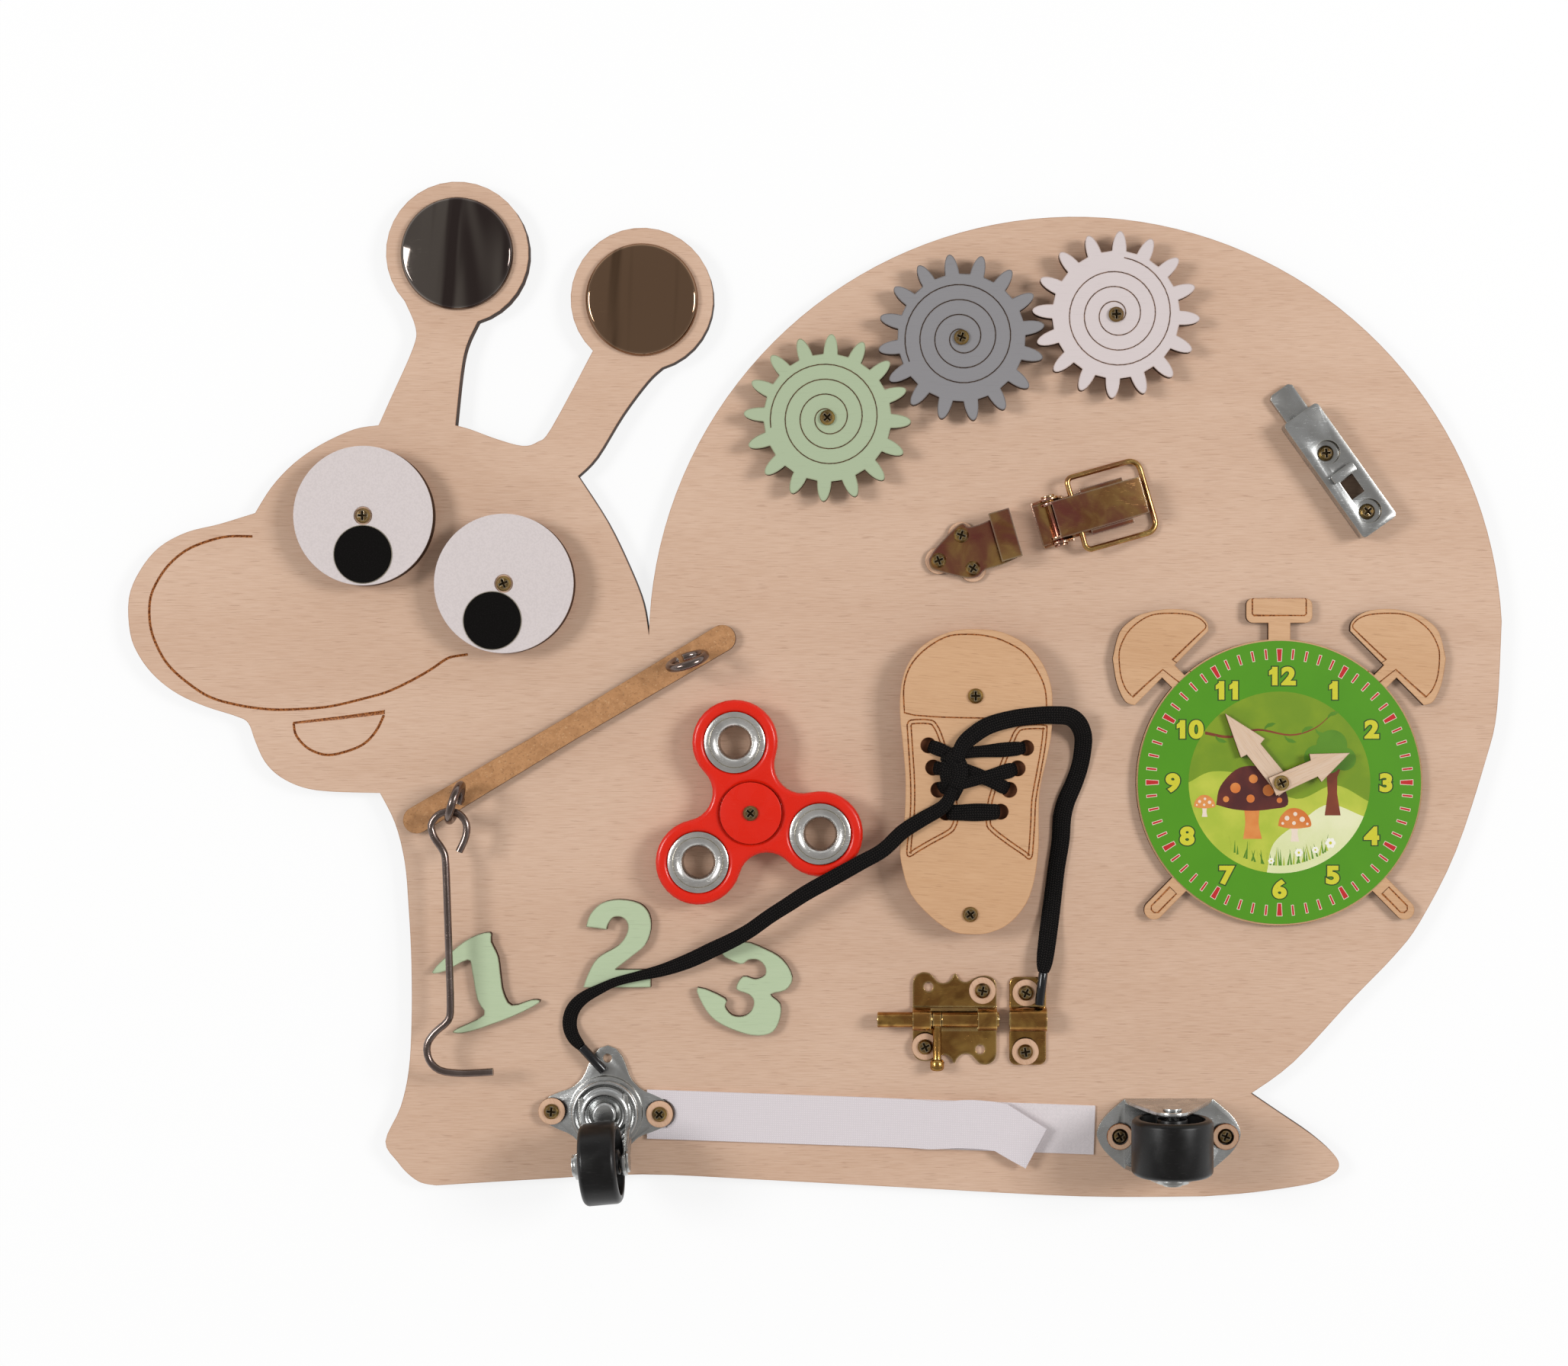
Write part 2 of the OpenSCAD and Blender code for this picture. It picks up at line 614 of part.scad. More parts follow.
// One bell of the clock, left of the dial, with its strap
module bell() {
    half = bell_strap / 2;
    strap = [for (p = [[57, -half], [dial_r - 4, -half], [dial_r - 4, half], [57, half]])
        along([0, 0], 135, p)];
    polygon(concat(curve([[-60.5, 45], [-58, 54.5], [-53, 59.5], [-48.5, 61.5], [-40, 63],
        [-31.5, 62], [-26.5, 58.5], [-25.8, 55]]), [[-25.8, 55]], strap,
        curve([[-52.5, 28], [-56, 29.5], [-59, 36], [-60.5, 45]])));
}

module clock_case() {
    leg_start = dial_r - 4;
    color([0.84, 0.72, 0.62]) difference() {
        translate([clock_c[0], clock_c[1], face]) linear_extrude(thin_ply) {
            circle(r = dial_r + case_rim, $fn = 96);
            bell();
            mirror([1, 0, 0]) bell();
            for (a = [225.5, 314.5]) rotate(a) {
                translate([leg_start, -leg_w / 2])
                    square([leg_reach - leg_w / 2 - leg_start, leg_w]);
                translate([leg_reach - leg_w / 2, 0]) circle(r = leg_w / 2);
            }
            translate([-4, dial_r - 3]) square([8, 10]);
            translate([-12, dial_r + 6.5]) rounded_bar(24, 9, 2.5);
        }
        translate([clock_c[0], clock_c[1], face - over])
            cylinder(r = pivot_bore_r, h = thin_ply + 2 * over);
    }
}

// A rectangle with round corners
module rounded_bar(w, h, r) {
    polygon(concat(arc([r, r], r, 180, 270, 5), arc([w - r, r], r, 270, 360, 5),
        arc([w - r, h - r], r, 0, 90, 5), arc([r, h - r], r, 90, 180, 5)));
}

module clock_dial() {
    color([0.33, 0.6, 0.11]) translate([clock_c[0], clock_c[1], dial_z])
        difference() {
            cylinder(r = dial_r, h = dial_t, $fn = 96);
            translate([0, 0, -over]) cylinder(r = pivot_bore_r, h = dial_t + 2 * over);
        }
}

// A hand with a barbed arrow head, its shaft along +X from the pivot
module clock_hand(reach, barb_at, barb) {
    neck = hand_half_w * 0.9;
    linear_extrude(hand_t) difference() {
        polygon([[-hand_half_w, -hand_half_w], [barb_at - 0.5, -neck], [barb_at, -barb],
            [reach, 0], [barb_at, barb], [barb_at - 0.5, neck], [-hand_half_w, hand_half_w]]);
        circle(r = pivot_bore_r);
    }
}

module clock_minute_hand() {
    color([0.86, 0.76, 0.66]) translate([clock_c[0], clock_c[1], minute_z]) rotate(128.6)
        clock_hand(minute_l, minute_l / 2, 5.5);
}

module clock_hour_hand() {
    color([0.86, 0.76, 0.66]) translate([clock_c[0], clock_c[1], hour_z]) rotate(23.6)
        clock_hand(hour_l, hour_l / 2, 5.5);
}

// ---- Shoe and lace ----

function shoe_outline() = loop([[58, 21.5], [67.5, 20.5], [76.5, 16], [82.5, 9], [85.5, 1],
    [86, -7], [85.5, -17], [83.5, -27], [81.5, -36], [81, -46], [81, -57], [79.5, -68.5],
    [76.5, -77.5], [70.5, -84.5], [64, -87.7], [58, -88.5], [50, -87.5], [42, -82], [35, -74],
    [32, -65], [31, -57], [32.5, -48], [33, -40.5], [33, -31], [32, -19.5], [31, -8],
    [31.5, 1], [33.5, 8], [38, 14.5], [44, 18.5], [51, 21]], 3);

module shoe_plate() {
    color([0.84, 0.72, 0.62]) difference() {
        translate([0, 0, shoe_z]) linear_extrude(shoe_t) polygon(shoe_outline());
        for (row = lace_holes, p = row) translate([p[0], p[1], shoe_z - over])
            cylinder(r = lace_hole_r, h = shoe_t + 2 * over);
        for (p = shoe_screws) translate([p[0], p[1], shoe_z - over])
            cylinder(r = pivot_bore_r, h = shoe_t + 2 * over);
    }
}

module shoe_spacers() {
    color([0.84, 0.72, 0.62]) for (p = shoe_screws)
        translate([p[0], p[1], face]) ring(shoe_spacer_r, pivot_bore_r, shoe_lift);
}

// A flat strap between two points, at the shoe's top
module lace_strap(a, b) {
    run = b - a;
    translate([a[0], a[1], shoe_top]) rotate(atan2(run[1], run[0]))
        translate([0, -lace_w / 2]) linear_extrude(lace_t - 0.2) square([norm(run), lace_w]);
}

module lace_crossings() {
    knot_h = 3.6;
    plug_l = 3;
    color([0.06, 0.06, 0.07]) {
        for (i = [0:3], p = lace_holes[i]) {
            target = i == 3 ? lace_holes[3][1] : lace_knot + [0, 2 - 3 * i];
            if (p != target) lace_strap(p, target);
            translate([p[0], p[1], shoe_top - plug_l])
                cylinder(r = lace_hole_r - 0.25, h = plug_l + lace_t - 0.2, $fn = 24);
        }
        translate([lace_knot[0], lace_knot[1], shoe_top]) linear_extrude(knot_h)
            polygon(loop([[4.5, 0], [3.8, 6], [0, 8.5], [-3.8, 6], [-4.5, 0], [-3.8, -6],
                [0, -8.5], [3.8, -6]], 3));
    }
}

module lace_tail(route) {
    color([0.06, 0.06, 0.07]) tube(route, lace_w / 2, lace_t / 2);
}

module lace_left_tail() {
    lace_tail(lace_left_route);
}

module lace_right_tail() {
    lace_tail(lace_right_route);
}

// The tube on a lace's end, in line with the last stretch of its route
module aglet(route) {
    last = len(route) - 1;
    run = heading(route, last);
    color([0.75, 0.76, 0.76]) translate(route[last])
        rotate([0, acos(run[2]), atan2(run[1], run[0])]) cylinder(r = aglet_r, h = aglet_l);
}

module aglet_left() {
    aglet(lace_left_flat);
}

module aglet_right() {
    aglet(lace_right_flat);
}

// Each end tube lies level, so its direction is the route's last heading laid flat
function laid_flat(p) = [for (i = [len(p) - 2, len(p) - 1]) [p[i][0], p[i][1], p[len(p) - 1][2]]];

// ---- Gears ----

// A gear's outline: petal-shaped teeth, each half an ellipse on the root circle
function gear_outline(phase) = [for (k = [0:teeth - 1], a = [-90:15:90])
    let (turn = phase + k * tooth_step, out = gear_root_r + tooth_l * cos(a),
        side = tooth_half_w * sin(a))
    [out * cos(turn) - side * sin(turn), out * sin(turn) + side * cos(turn)]];

module gear(c, phase) {
    translate([c[0], c[1], gear_z]) difference() {
        linear_extrude(gear_t) polygon(gear_outline(phase));
        translate([0, 0, -over]) cylinder(r = pivot_bore_r, h = gear_t + 2 * over);
    }
}

module gear_green() {
    color([0.55, 0.76, 0.5]) gear(gear_green_c, gear_phases[0]);
}

module gear_grey() {
    color([0.55, 0.55, 0.58]) gear(gear_grey_c, gear_phases[1]);
}

module gear_white() {
    color([0.9, 0.87, 0.85]) gear(gear_white_c, gear_phases[2]);
}

// ---- Eyes ----

module eye_disc(c) {
    color([0.84, 0.72, 0.62]) translate([c[0], c[1], eye_z]) ring(eye_r, pivot_bore_r, eye_t, 96);
}

module eye_facing(c) {
    color([0.85, 0.81, 0.81]) translate([c[0], c[1], eye_z + eye_t])
        ring(eye_r, facing_hole_r, facing_t, 96);
}

module eye_pupil(c, look) {
    place = c + at(pupil_offset, look);
    color([0.05, 0.05, 0.05]) translate([place[0], place[1], eye_z + eye_t + facing_t])
        cylinder(r = pupil_r, h = pupil_t, $fn = 72);
}

module eye_left_disc() {
    eye_disc(eye_left_c);
}

module eye_left_facing() {
    eye_facing(eye_left_c);
}

module eye_left_pupil() {
    eye_pupil(eye_left_c, eye_left_look);
}

module eye_right_disc() {
    eye_disc(eye_right_c);
}

module eye_right_facing() {
    eye_facing(eye_right_c);
}

module eye_right_pupil() {
    eye_pupil(eye_right_c, eye_right_look);
}

// ---- Spinner ----

// Outline of the spinner: round lobes joined by hollow necks that touch both lobes
function spinner_outline() = let (k = lobe_r - waist_r,
    d = (lobe_offset * lobe_offset - k * k) / (lobe_offset + 2 * k),
    meet = atan2(d * sin(60), d * cos(60) - lobe_offset))
    [for (turn = spinner_turns) each concat(
        arc(at(lobe_offset, turn), lobe_r, turn - meet, turn + meet, 22),
        [for (i = [1:9]) at(d, turn + 60)
            + at(d - waist_r, turn + meet + 180 - i * (2 * meet - 120) / 10)])];

module spinner_body() {
    color([0.9, 0.13, 0.06]) translate([spinner_c[0], spinner_c[1], spinner_z]) difference() {
        linear_extrude(spinner_t) polygon(spinner_outline());
        for (p = concat([[0, 0]], [for (t = spinner_turns) at(lobe_offset, t)]))
            translate([p[0], p[1], -over])
                cylinder(r = weight_r + weight_fit, h = spinner_t + 2 * over, $fn = 72);
    }
}

module spinner_weights() {
    dish = 1.6;
    proud = 0.1;
    lip_r = weight_r - 2.3;
    color([0.75, 0.76, 0.78]) for (t = spinner_turns)
        translate(concat(spinner_c + at(lobe_offset, t), [spinner_z - proud]))
        rotate_extrude($fn = 72) polygon([[weight_hole_r, dish], [lip_r, 0], [weight_r, 0],
            [weight_r, spinner_t + 2 * proud], [lip_r, spinner_t + 2 * proud],
            [weight_hole_r, spinner_t + 2 * proud - dish]]);
}

module bearing_outer() {
    h = spinner_t - race_end_play;
    color([0.7, 0.71, 0.73]) translate([spinner_c[0], spinner_c[1], spinner_z + race_end_play / 2]) {
        ring(weight_r, weight_r - outer_race_wall, h, 72);
        for (i = [0:balls - 1]) translate(concat(at(ball_track_r, 360 * i / balls), [h / 2]))
            sphere(r = ball_r, $fn = 24);
    }
}

module bearing_inner_race() {
    color([0.7, 0.71, 0.73]) translate([spinner_c[0], spinner_c[1], spinner_z + race_end_play])
        ring(inner_race_r, race_bore_r, spinner_t - 2 * race_end_play);
}

// Two plastic caps clamp the inner race; each has a boss on the race and a spigot in its bore
module spinner_caps() {
    boss_r = inner_race_r - 0.6;
    spigot_r = race_bore_r - 0.1;
    spigot_l = 2;
    low = spinner_z + race_end_play;
    high = spinner_top - race_end_play;
    color([0.9, 0.13, 0.06]) translate([spinner_c[0], spinner_c[1], 0]) difference() {
        union() {
            translate([0, 0, face]) cylinder(r = cap_r, h = spacer_h - turn_play, $fn = 72);
            translate([0, 0, face]) cylinder(r = boss_r, h = low - face);
            translate([0, 0, face]) cylinder(r = spigot_r, h = low - face + spigot_l);
            translate([0, 0, high - spigot_l]) cylinder(r = spigot_r, h = spigot_l + cap_t);
            translate([0, 0, high]) cylinder(r = boss_r, h = cap_top - high);
            translate([0, 0, cap_top - cap_t]) cylinder(r = cap_r, h = cap_t, $fn = 72);
        }
        translate([0, 0, face - over]) cylinder(r = pivot_bore_r, h = cap_top);
    }
}

// ---- Draw latch ----

// Places a part of the latch in its own frame: u along the lever, v across it
module in_latch() {
    translate([latch_c[0], latch_c[1], 0]) rotate(latch_turn) children();
}

// A flat plate that stands across v, from its outline in u and z
module upright(v, t, points) {
    translate([0, v + t, 0]) rotate([90, 0, 0]) linear_extrude(t) polygon(points);
}

// A cylinder across v, at u and z
module cross_pin(u, z, r, half) {
    translate([u, half, z]) rotate([90, 0, 0]) cylinder(r = r, h = 2 * half, $fn = 32);
}

module latch_base() {
    ear = concat([[-6.2, face], [5.4, face]], arc([0, latch_z], 3.6, 0, 180, 12));
    color([0.8, 0.74, 0.5]) in_latch() difference() {
        union() {
            translate([-6.2, -ear_in - sheet_t, face]) cube([11.6, 2 * (ear_in + sheet_t), sheet_t]);
            translate([0, -ear_in, face]) cube([23, 2 * ear_in, sheet_t]);
            upright(ear_in, sheet_t, ear);
            upright(-ear_in - sheet_t, sheet_t, ear);
        }
        cross_pin(0, latch_z, latch_pin_r + 0.03, ear_in + 2 * sheet_t);
        for (u = latch_screws) translate([u, 0, face - over])
            cylinder(r = pivot_bore_r, h = sheet_t + 2 * over);
    }
}

module latch_pin() {
    head = 0.9;
    end = ear_in + sheet_t;
    color([0.8, 0.74, 0.5]) in_latch() {
        cross_pin(0, latch_z, latch_pin_r, end + 0.05);
        for (v = [-end - head, end]) translate([0, v + head, latch_z]) rotate([90, 0, 0])
            cylinder(r = latch_pin_r + 1, h = head, $fn = 32);
    }
}

module latch_lever() {
    side = concat(arc([0, latch_z], lever_drop, 90, 270, 12),
        [[lever_l - 5, latch_z - lever_drop], [lever_l, latch_z + 0.5],
        [lever_l, latch_z + lever_rise], [0.4, latch_z + lever_rise]]);
    color([0.8, 0.74, 0.5]) in_latch() difference() {
        union() {
            translate([0.4, -lever_half_w, latch_z + lever_rise - sheet_t])
                cube([lever_l - 0.4, 2 * lever_half_w, sheet_t]);
            upright(lever_half_w - sheet_t, sheet_t, side);
            upright(-lever_half_w, sheet_t, side);
            for (v = [lever_half_w - sheet_t, -lever_half_w - 1.8])
                translate([12, v, latch_z - lever_drop]) cube([16, 1.8 + sheet_t, 0.8]);
        }
        cross_pin(0, latch_z, latch_pin_r + hinge_gap, lever_half_w + over);
        cross_pin(bail_pivot_u, latch_z, bail_wire_r + hinge_gap, lever_half_w + over);
    }
}

// A quarter bend of the bail's wire, from +X to +Y about its corner's centre
module wire_bend(r, wire_r) {
    rotate_extrude(angle = 90) translate([r, 0]) circle(r = wire_r, $fn = 24);
}

module wire_rod(length, wire_r) {
    rotate([0, 90, 0]) cylinder(r = wire_r, h = length, $fn = 24);
}

// One half of the bail: pivot stub, side and half the end bar
module bail_half() {
    stub_end = lever_half_w - sheet_t - 0.4;
    translate([0, stub_end, 0]) rotate(90)
        wire_rod(bail_half_w - bail_stub_r - stub_end, bail_wire_r);
    translate([bail_stub_r, bail_half_w - bail_stub_r, 0]) rotate(90)
        wire_bend(bail_stub_r, bail_wire_r);
    translate([bail_stub_r, bail_half_w, 0])
        wire_rod(bail_l - bail_stub_r - bail_corner, bail_wire_r);
    translate([bail_l - bail_corner, bail_half_w - bail_corner, 0])
        wire_bend(bail_corner, bail_wire_r);
    translate([bail_l, 0, 0]) rotate(90) wire_rod(bail_half_w - bail_corner, bail_wire_r);
}

module latch_bail() {
    color([0.82, 0.78, 0.6]) in_latch() translate([bail_pivot_u, 0, latch_z])
        rotate([0, bail_tilt, 0]) {
            bail_half();
            mirror([0, 1, 0]) bail_half();
        }
}

// The catch: a shaped plate on plywood spacers, with a curled lip for the bail
module catch_plate() {
    lip_in = -14.8;
    lip_out = -22.5;
    lip_top = catch_z + 8.5;
    lip_half = 9;
    lip_ends = [for (v = [lip_half - 0.5, 0.5 - lip_half])
        along(latch_c, latch_turn, [lip_in, v])];
    color([0.8, 0.74, 0.5]) difference() {
        union() {
            translate([0, 0, catch_z]) linear_extrude(sheet_t) polygon(concat(
                curve([[41.5, 47], [44, 51], [51, 58.5], [54, 60.2], [56, 58.8], [62, 60.6],
                lip_ends[0]], 3), [lip_ends[0]],
                curve([lip_ends[1], [68, 45], [62, 43.2], [59.5, 40.8], [55, 40.3],
                [44, 43], [42, 44.5], [41.5, 47]], 3)));
            in_latch() upright(-lip_half, 2 * lip_half, [[lip_in, catch_z], [lip_in, lip_top],
                [lip_out, lip_top], [lip_out, lip_top - 3.2], [lip_out + sheet_t, lip_top - 3.2],
                [lip_out + sheet_t, lip_top - sheet_t], [lip_in - sheet_t, lip_top - sheet_t],
                [lip_in - sheet_t, catch_z]]);
        }
        for (p = catch_screws) translate([p[0], p[1], catch_z - over])
            cylinder(r = pivot_bore_r, h = sheet_t + 2 * over);
    }
}

// ---- Flat slide bolt ----

module in_slide_bolt() {
    translate([slide_bolt_c[0], slide_bolt_c[1], 0]) rotate(slide_bolt_turn) children();
}

module slide_bolt_case() {
    wall = 1.2;
    half = slide_case_w / 2;
    top = face + slide_case_h;
    slot_half = slide_bar_w / 2 + slide_play;
    color([0.74, 0.7, 0.6]) in_slide_bolt() difference() {
        translate([0, -half, face]) linear_extrude(slide_case_h)
            rounded_bar(slide_case_l, slide_case_w, 1.5);
        difference() {
            translate([wall, wall - half, face - over])
                cube([slide_case_l - 2 * wall, slide_case_w - 2 * wall,
                    slide_case_h - wall + over]);
            for (s = slide_screws) translate([s, 0, slide_cup_z])
                cylinder(r = slide_cup_r + wall, h = slide_case_h);
        }
        translate([-over, -slot_half, face - over])
            cube([wall + 2 * over, 2 * slot_half, slide_bar_t + 2 * slide_play + over]);
        for (s = slide_screws) {
            translate([s, 0, slide_cup_z + sheet_t]) cylinder(r = slide_cup_r, h = slide_case_h);
            translate([s, 0, face]) cylinder(r = pivot_bore_r, h = slide_case_h);
        }
        translate([slide_window[0], -slide_window_w / 2, face + slide_case_h - wall - over])
            cube([slide_window[1] - slide_window[0], slide_window_w, wall + 2 * over]);
    }
}

module slide_bolt_bar() {
    z0 = face + slide_play;
    tip = -11.35;
    nose = 1.2;
    half = slide_bar_w / 2;
    post_s = slide_window[0] + 0.1;
    post_half = slide_window_w / 2 - slide_play;
    tab_z = face + slide_case_h + slide_play;
    color([0.78, 0.74, 0.64]) in_slide_bolt() {
        difference() {
            translate([0, 0, z0]) linear_extrude(slide_bar_t) polygon([[tip + nose, -half],
                [29, -half], [29, half], [tip + nose, half], [tip, half - nose],
                [tip, nose - half]]);
            translate([6.5, -2.1, face - over]) cube([13, 4.2, slide_bar_t + 2 * over]);
        }
        translate([post_s, -post_half, z0]) cube([slide_post_l, 2 * post_half, tab_z - z0]);
        translate([post_s - 0.3, -half, tab_z]) linear_extrude(2.2)
            rounded_bar(slide_post_l + 1, 2 * half, 1);
    }
}

// ---- Barrel bolt ----

// A plate whose short edges swing in to two hollows with a cusp between them
module scalloped_plate(w, h, dip) {
    wave = [for (i = [0:24]) [w * (i / 24 - 0.5), h / 2 - dip * abs(sin(15 * i))]];
    linear_extrude(bolt_plate_t) polygon(concat(wave, [for (p = wave) [-p[0], -p[1]]]));
}

// Arched tunnel along X, from x0 to x1, standing on a plate
module tunnel(x0, x1, r_out) {
    translate([x0, 0, rod_z]) rotate([90, 0, 90]) linear_extrude(x1 - x0)
        polygon(concat([[-r_out, bolt_top - rod_z], [r_out, bolt_top - rod_z]],
            arc([0, 0], r_out, 0, 180, 16)));
}

module x_cylinder(x0, x1, r) {
    translate([x0, 0, rod_z]) rotate([0, 90, 0]) cylinder(r = r, h = x1 - x0);
}

module barrel_bolt_plate() {
    half = barrel_w / 2;
    lip = 1;
    color([0.83, 0.68, 0.38]) translate([barrel_c[0], barrel_c[1], 0]) difference() {
        union() {
            translate([0, 0, face]) scalloped_plate(barrel_w, barrel_h, 3.2);
            tunnel(-half, window[0], tunnel_out);
            tunnel(window[1], half, tunnel_out);
            translate([window[0], -tunnel_out, bolt_top]) cube([window[1] - window[0], lip, 1.4]);
            translate([window[0], tunnel_out - lip, bolt_top])
                cube([window[1] - window[0], lip, rod_z - bolt_top]);
        }
        x_cylinder(-half - over, half + over, tunnel_r);
        for (p = concat(barrel_screws, barrel_spare_holes))
            translate([p[0] - barrel_c[0], p[1] - barrel_c[1], face - over])
                cylinder(r = pivot_bore_r, h = bolt_plate_t + 2 * over);
    }
}

module barrel_bolt_strike() {
    half = strike_w / 2;
    color([0.83, 0.68, 0.38]) translate([strike_c[0], strike_c[1], 0]) difference() {
        union() {
            translate([0, -0.9, face]) scalloped_plate(strike_w, strike_h, 2);
            tunnel(-half, half, tunnel_out + strike_play);
        }
        x_cylinder(-half - over, half + over, tunnel_r + strike_play);
        for (p = strike_screws) translate([p[0] - strike_c[0], p[1] - strike_c[1], face - over])
            cylinder(r = pivot_bore_r, h = bolt_plate_t + 2 * over);
    }
}

module barrel_bolt_rod() {
    groove = knob_arm_r + 0.15;
    color([0.86, 0.72, 0.42]) translate([barrel_c[0], barrel_c[1], 0]) {
        x_cylinder(rod_ends[0], knob_x - groove, rod_r);
        x_cylinder(knob_x - groove, knob_x + groove, knob_groove_r);
        x_cylinder(knob_x + groove, rod_ends[1], rod_r);
    }
}

// The knob's collar turns in the rod's groove; its arm points away along -Y
module barrel_bolt_knob() {
    arm_l = 14.3;
    knob_end = 18.6;
    color([0.86, 0.72, 0.42]) translate([barrel_c[0] + knob_x, barrel_c[1], rod_z]) {
        difference() {
            union() {
                translate([-knob_arm_r, 0, 0]) rotate([0, 90, 0])
                    cylinder(r = rod_r - 0.02, h = 2 * knob_arm_r);
                rotate([90, 0, 0]) rotate_extrude($fn = 32) polygon(concat([[0, 0],
                    [knob_arm_r, 0], [knob_arm_r, arm_l], [knob_r - 0.4, arm_l + 0.4],
                    [knob_r, arm_l + 1.2], [knob_r, knob_end - 1.4]],
                    arc([knob_r - 1.4, knob_end - 1.4], 1.4, 0, 90, 5), [[0, knob_end]]));
            }
            translate([-knob_arm_r - over, 0, 0]) rotate([0, 90, 0])
                cylinder(r = knob_groove_r + hinge_gap, h = 2 * knob_arm_r + 2 * over);
        }
    }
}

// ---- Castors ----

// Outline of a square plate with round corners and hollow sides, grown by a gap
function castor_outline(gap) = [for (a = [0:7.5:352.5]) at(gap + castor_plate_side
    + (castor_plate_corner - castor_plate_side) * pow(abs(cos(2 * a)), 3), a)];

module castor_left_plate() {
    color([0.72, 0.74, 0.76]) translate([castor_left_c[0], castor_left_c[1], 0]) {
        difference() {
            rotate(castor_left_turn) translate([0, 0, face]) linear_extrude(castor_sheet)
                polygon(castor_outline(0));
            for (a = [0:90:270]) rotate(castor_left_turn)
                translate(concat(at(castor_hole_at, a), [face - over]))
                cylinder(r = pivot_bore_r, h = castor_sheet + 2 * over);
        }
        translate([0, 0, castor_plate_top - sunk]) ring(race_r, race_r - 2.5, race_h + sunk);
        translate([0, 0, castor_plate_top - sunk]) cylinder(r = kingpin_r,
            h = crown_z + castor_sheet + turn_play + 2 * sunk - castor_plate_top);
        translate([0, 0, crown_z + castor_sheet + turn_play])
            bevelled_disc(kingpin_head_r, 2.4, 0.8);
    }
}

module in_fork() {
    translate([castor_left_c[0], castor_left_c[1], 0]) rotate(castor_left_heading) children();
}

module castor_fork() {
    side = concat([[-7, crown_z], [8, crown_z], [12.2, crown_z + 5]],
        arc([castor_trail, axle_z], fork_ear_r, -30, 150, 14), [[-7, crown_z + castor_sheet]]);
    color([0.7, 0.72, 0.74]) in_fork() difference() {
        union() {
            translate([0, 0, crown_z]) cylinder(r = crown_r, h = castor_sheet);
            upright(fork_gap / 2, castor_sheet, side);
            upright(-fork_gap / 2 - castor_sheet, castor_sheet, side);
        }
        translate([0, 0, crown_z - over])
            cylinder(r = kingpin_r + axle_play, h = castor_sheet + 2 * over);
        cross_pin(castor_trail, axle_z, axle_left_r + 0.03, fork_gap);
    }
}

// An axle across v with a rivet head at each end
module riveted_axle(u, r, half, head_r) {
    head = 1.1;
    cross_pin(u, axle_z, r, half + head / 2);
    for (v = [-half - head, half]) translate([u, v + head, axle_z]) rotate([90, 0, 0])
        cylinder(r = head_r, h = head, $fn = 32);
}

module castor_left_axle() {
    color([0.8, 0.81, 0.82]) in_fork()
        riveted_axle(castor_trail, axle_left_r, fork_gap / 2 + castor_sheet, 3.9);
}

// A wheel with a round-edged tread, a thin web and a hub
module wheel(w, bore, hub_r) {
    rim = 3;
    web = 4;
    edge = 1.2;
    half = w / 2;
    rotate([90, 0, 0]) rotate_extrude($fn = 96) polygon([[bore, -half], [hub_r, -half],
        [hub_r, -web / 2], [wheel_r - rim, -web / 2], [wheel_r - rim, -half],
        [wheel_r - edge, -half], [wheel_r, edge - half], [wheel_r, half - edge],
        [wheel_r - edge, half], [wheel_r - rim, half], [wheel_r - rim, web / 2],
        [hub_r, web / 2], [hub_r, half], [bore, half]]);
}

module castor_left_wheel() {
    color([0.1, 0.1, 0.11]) in_fork() translate([castor_trail, 0, axle_z])
        wheel(wheel_left_w, axle_left_r + axle_play, 4.5);
}

module castor_right_bracket() {
    half = bracket_w / 2;
    x0 = castor_right_axle_x - castor_right_c[0];
    side = concat([[-16.5, face], [16.5, face]], arc([x0, axle_z], 6, 10, 170, 12));
    color([0.72, 0.74, 0.76]) translate([castor_right_c[0], castor_right_c[1], 0]) difference() {
        union() {
            translate([-bracket_l / 2, -half, face]) linear_extrude(castor_sheet)
                rounded_bar(bracket_l, bracket_w, 9.6);
            upright(half - castor_sheet, castor_sheet, side);
            upright(-half, castor_sheet, side);
        }
        for (p = castor_right_screws)
            translate([p[0] - castor_right_c[0], p[1] - castor_right_c[1], face - over])
                cylinder(r = pivot_bore_r, h = castor_sheet + 2 * over);
        cross_pin(x0, axle_z, axle_right_r + 0.03, half + over);
    }
}

module castor_right_axle() {
    color([0.8, 0.81, 0.82]) translate([0, castor_right_c[1], 0])
        riveted_axle(castor_right_axle_x, axle_right_r, bracket_w / 2, 3.4);
}

module castor_right_wheel() {
    color([0.1, 0.1, 0.11]) translate([castor_right_axle_x, castor_right_c[1], axle_z])
        wheel(wheel_right_w, axle_right_r + axle_play, 5.5);
}

// ---- Tapes ----

// What stands where the tapes' left ends lie: the castor's plate and its washer
module tape_keep_out() {
    translate([castor_left_c[0], castor_left_c[1], face - over]) {
        rotate(castor_left_turn) linear_extrude(10) polygon(castor_outline(tape_gap));
        translate(at(castor_hole_at, castor_left_turn))
            cylinder(r = washer_r + tape_gap, h = 10, $fn = 32);
    }
}

module hook_tape() {
    color([0.93, 0.93, 0.92]) difference() {
        translate([tape_c[0], tape_c[1], face]) rotate(tape_turn)
            translate([0, -tape_w / 2, 0]) cube([hook_tape_l, tape_w, tape_t]);
        tape_keep_out();
    }
}

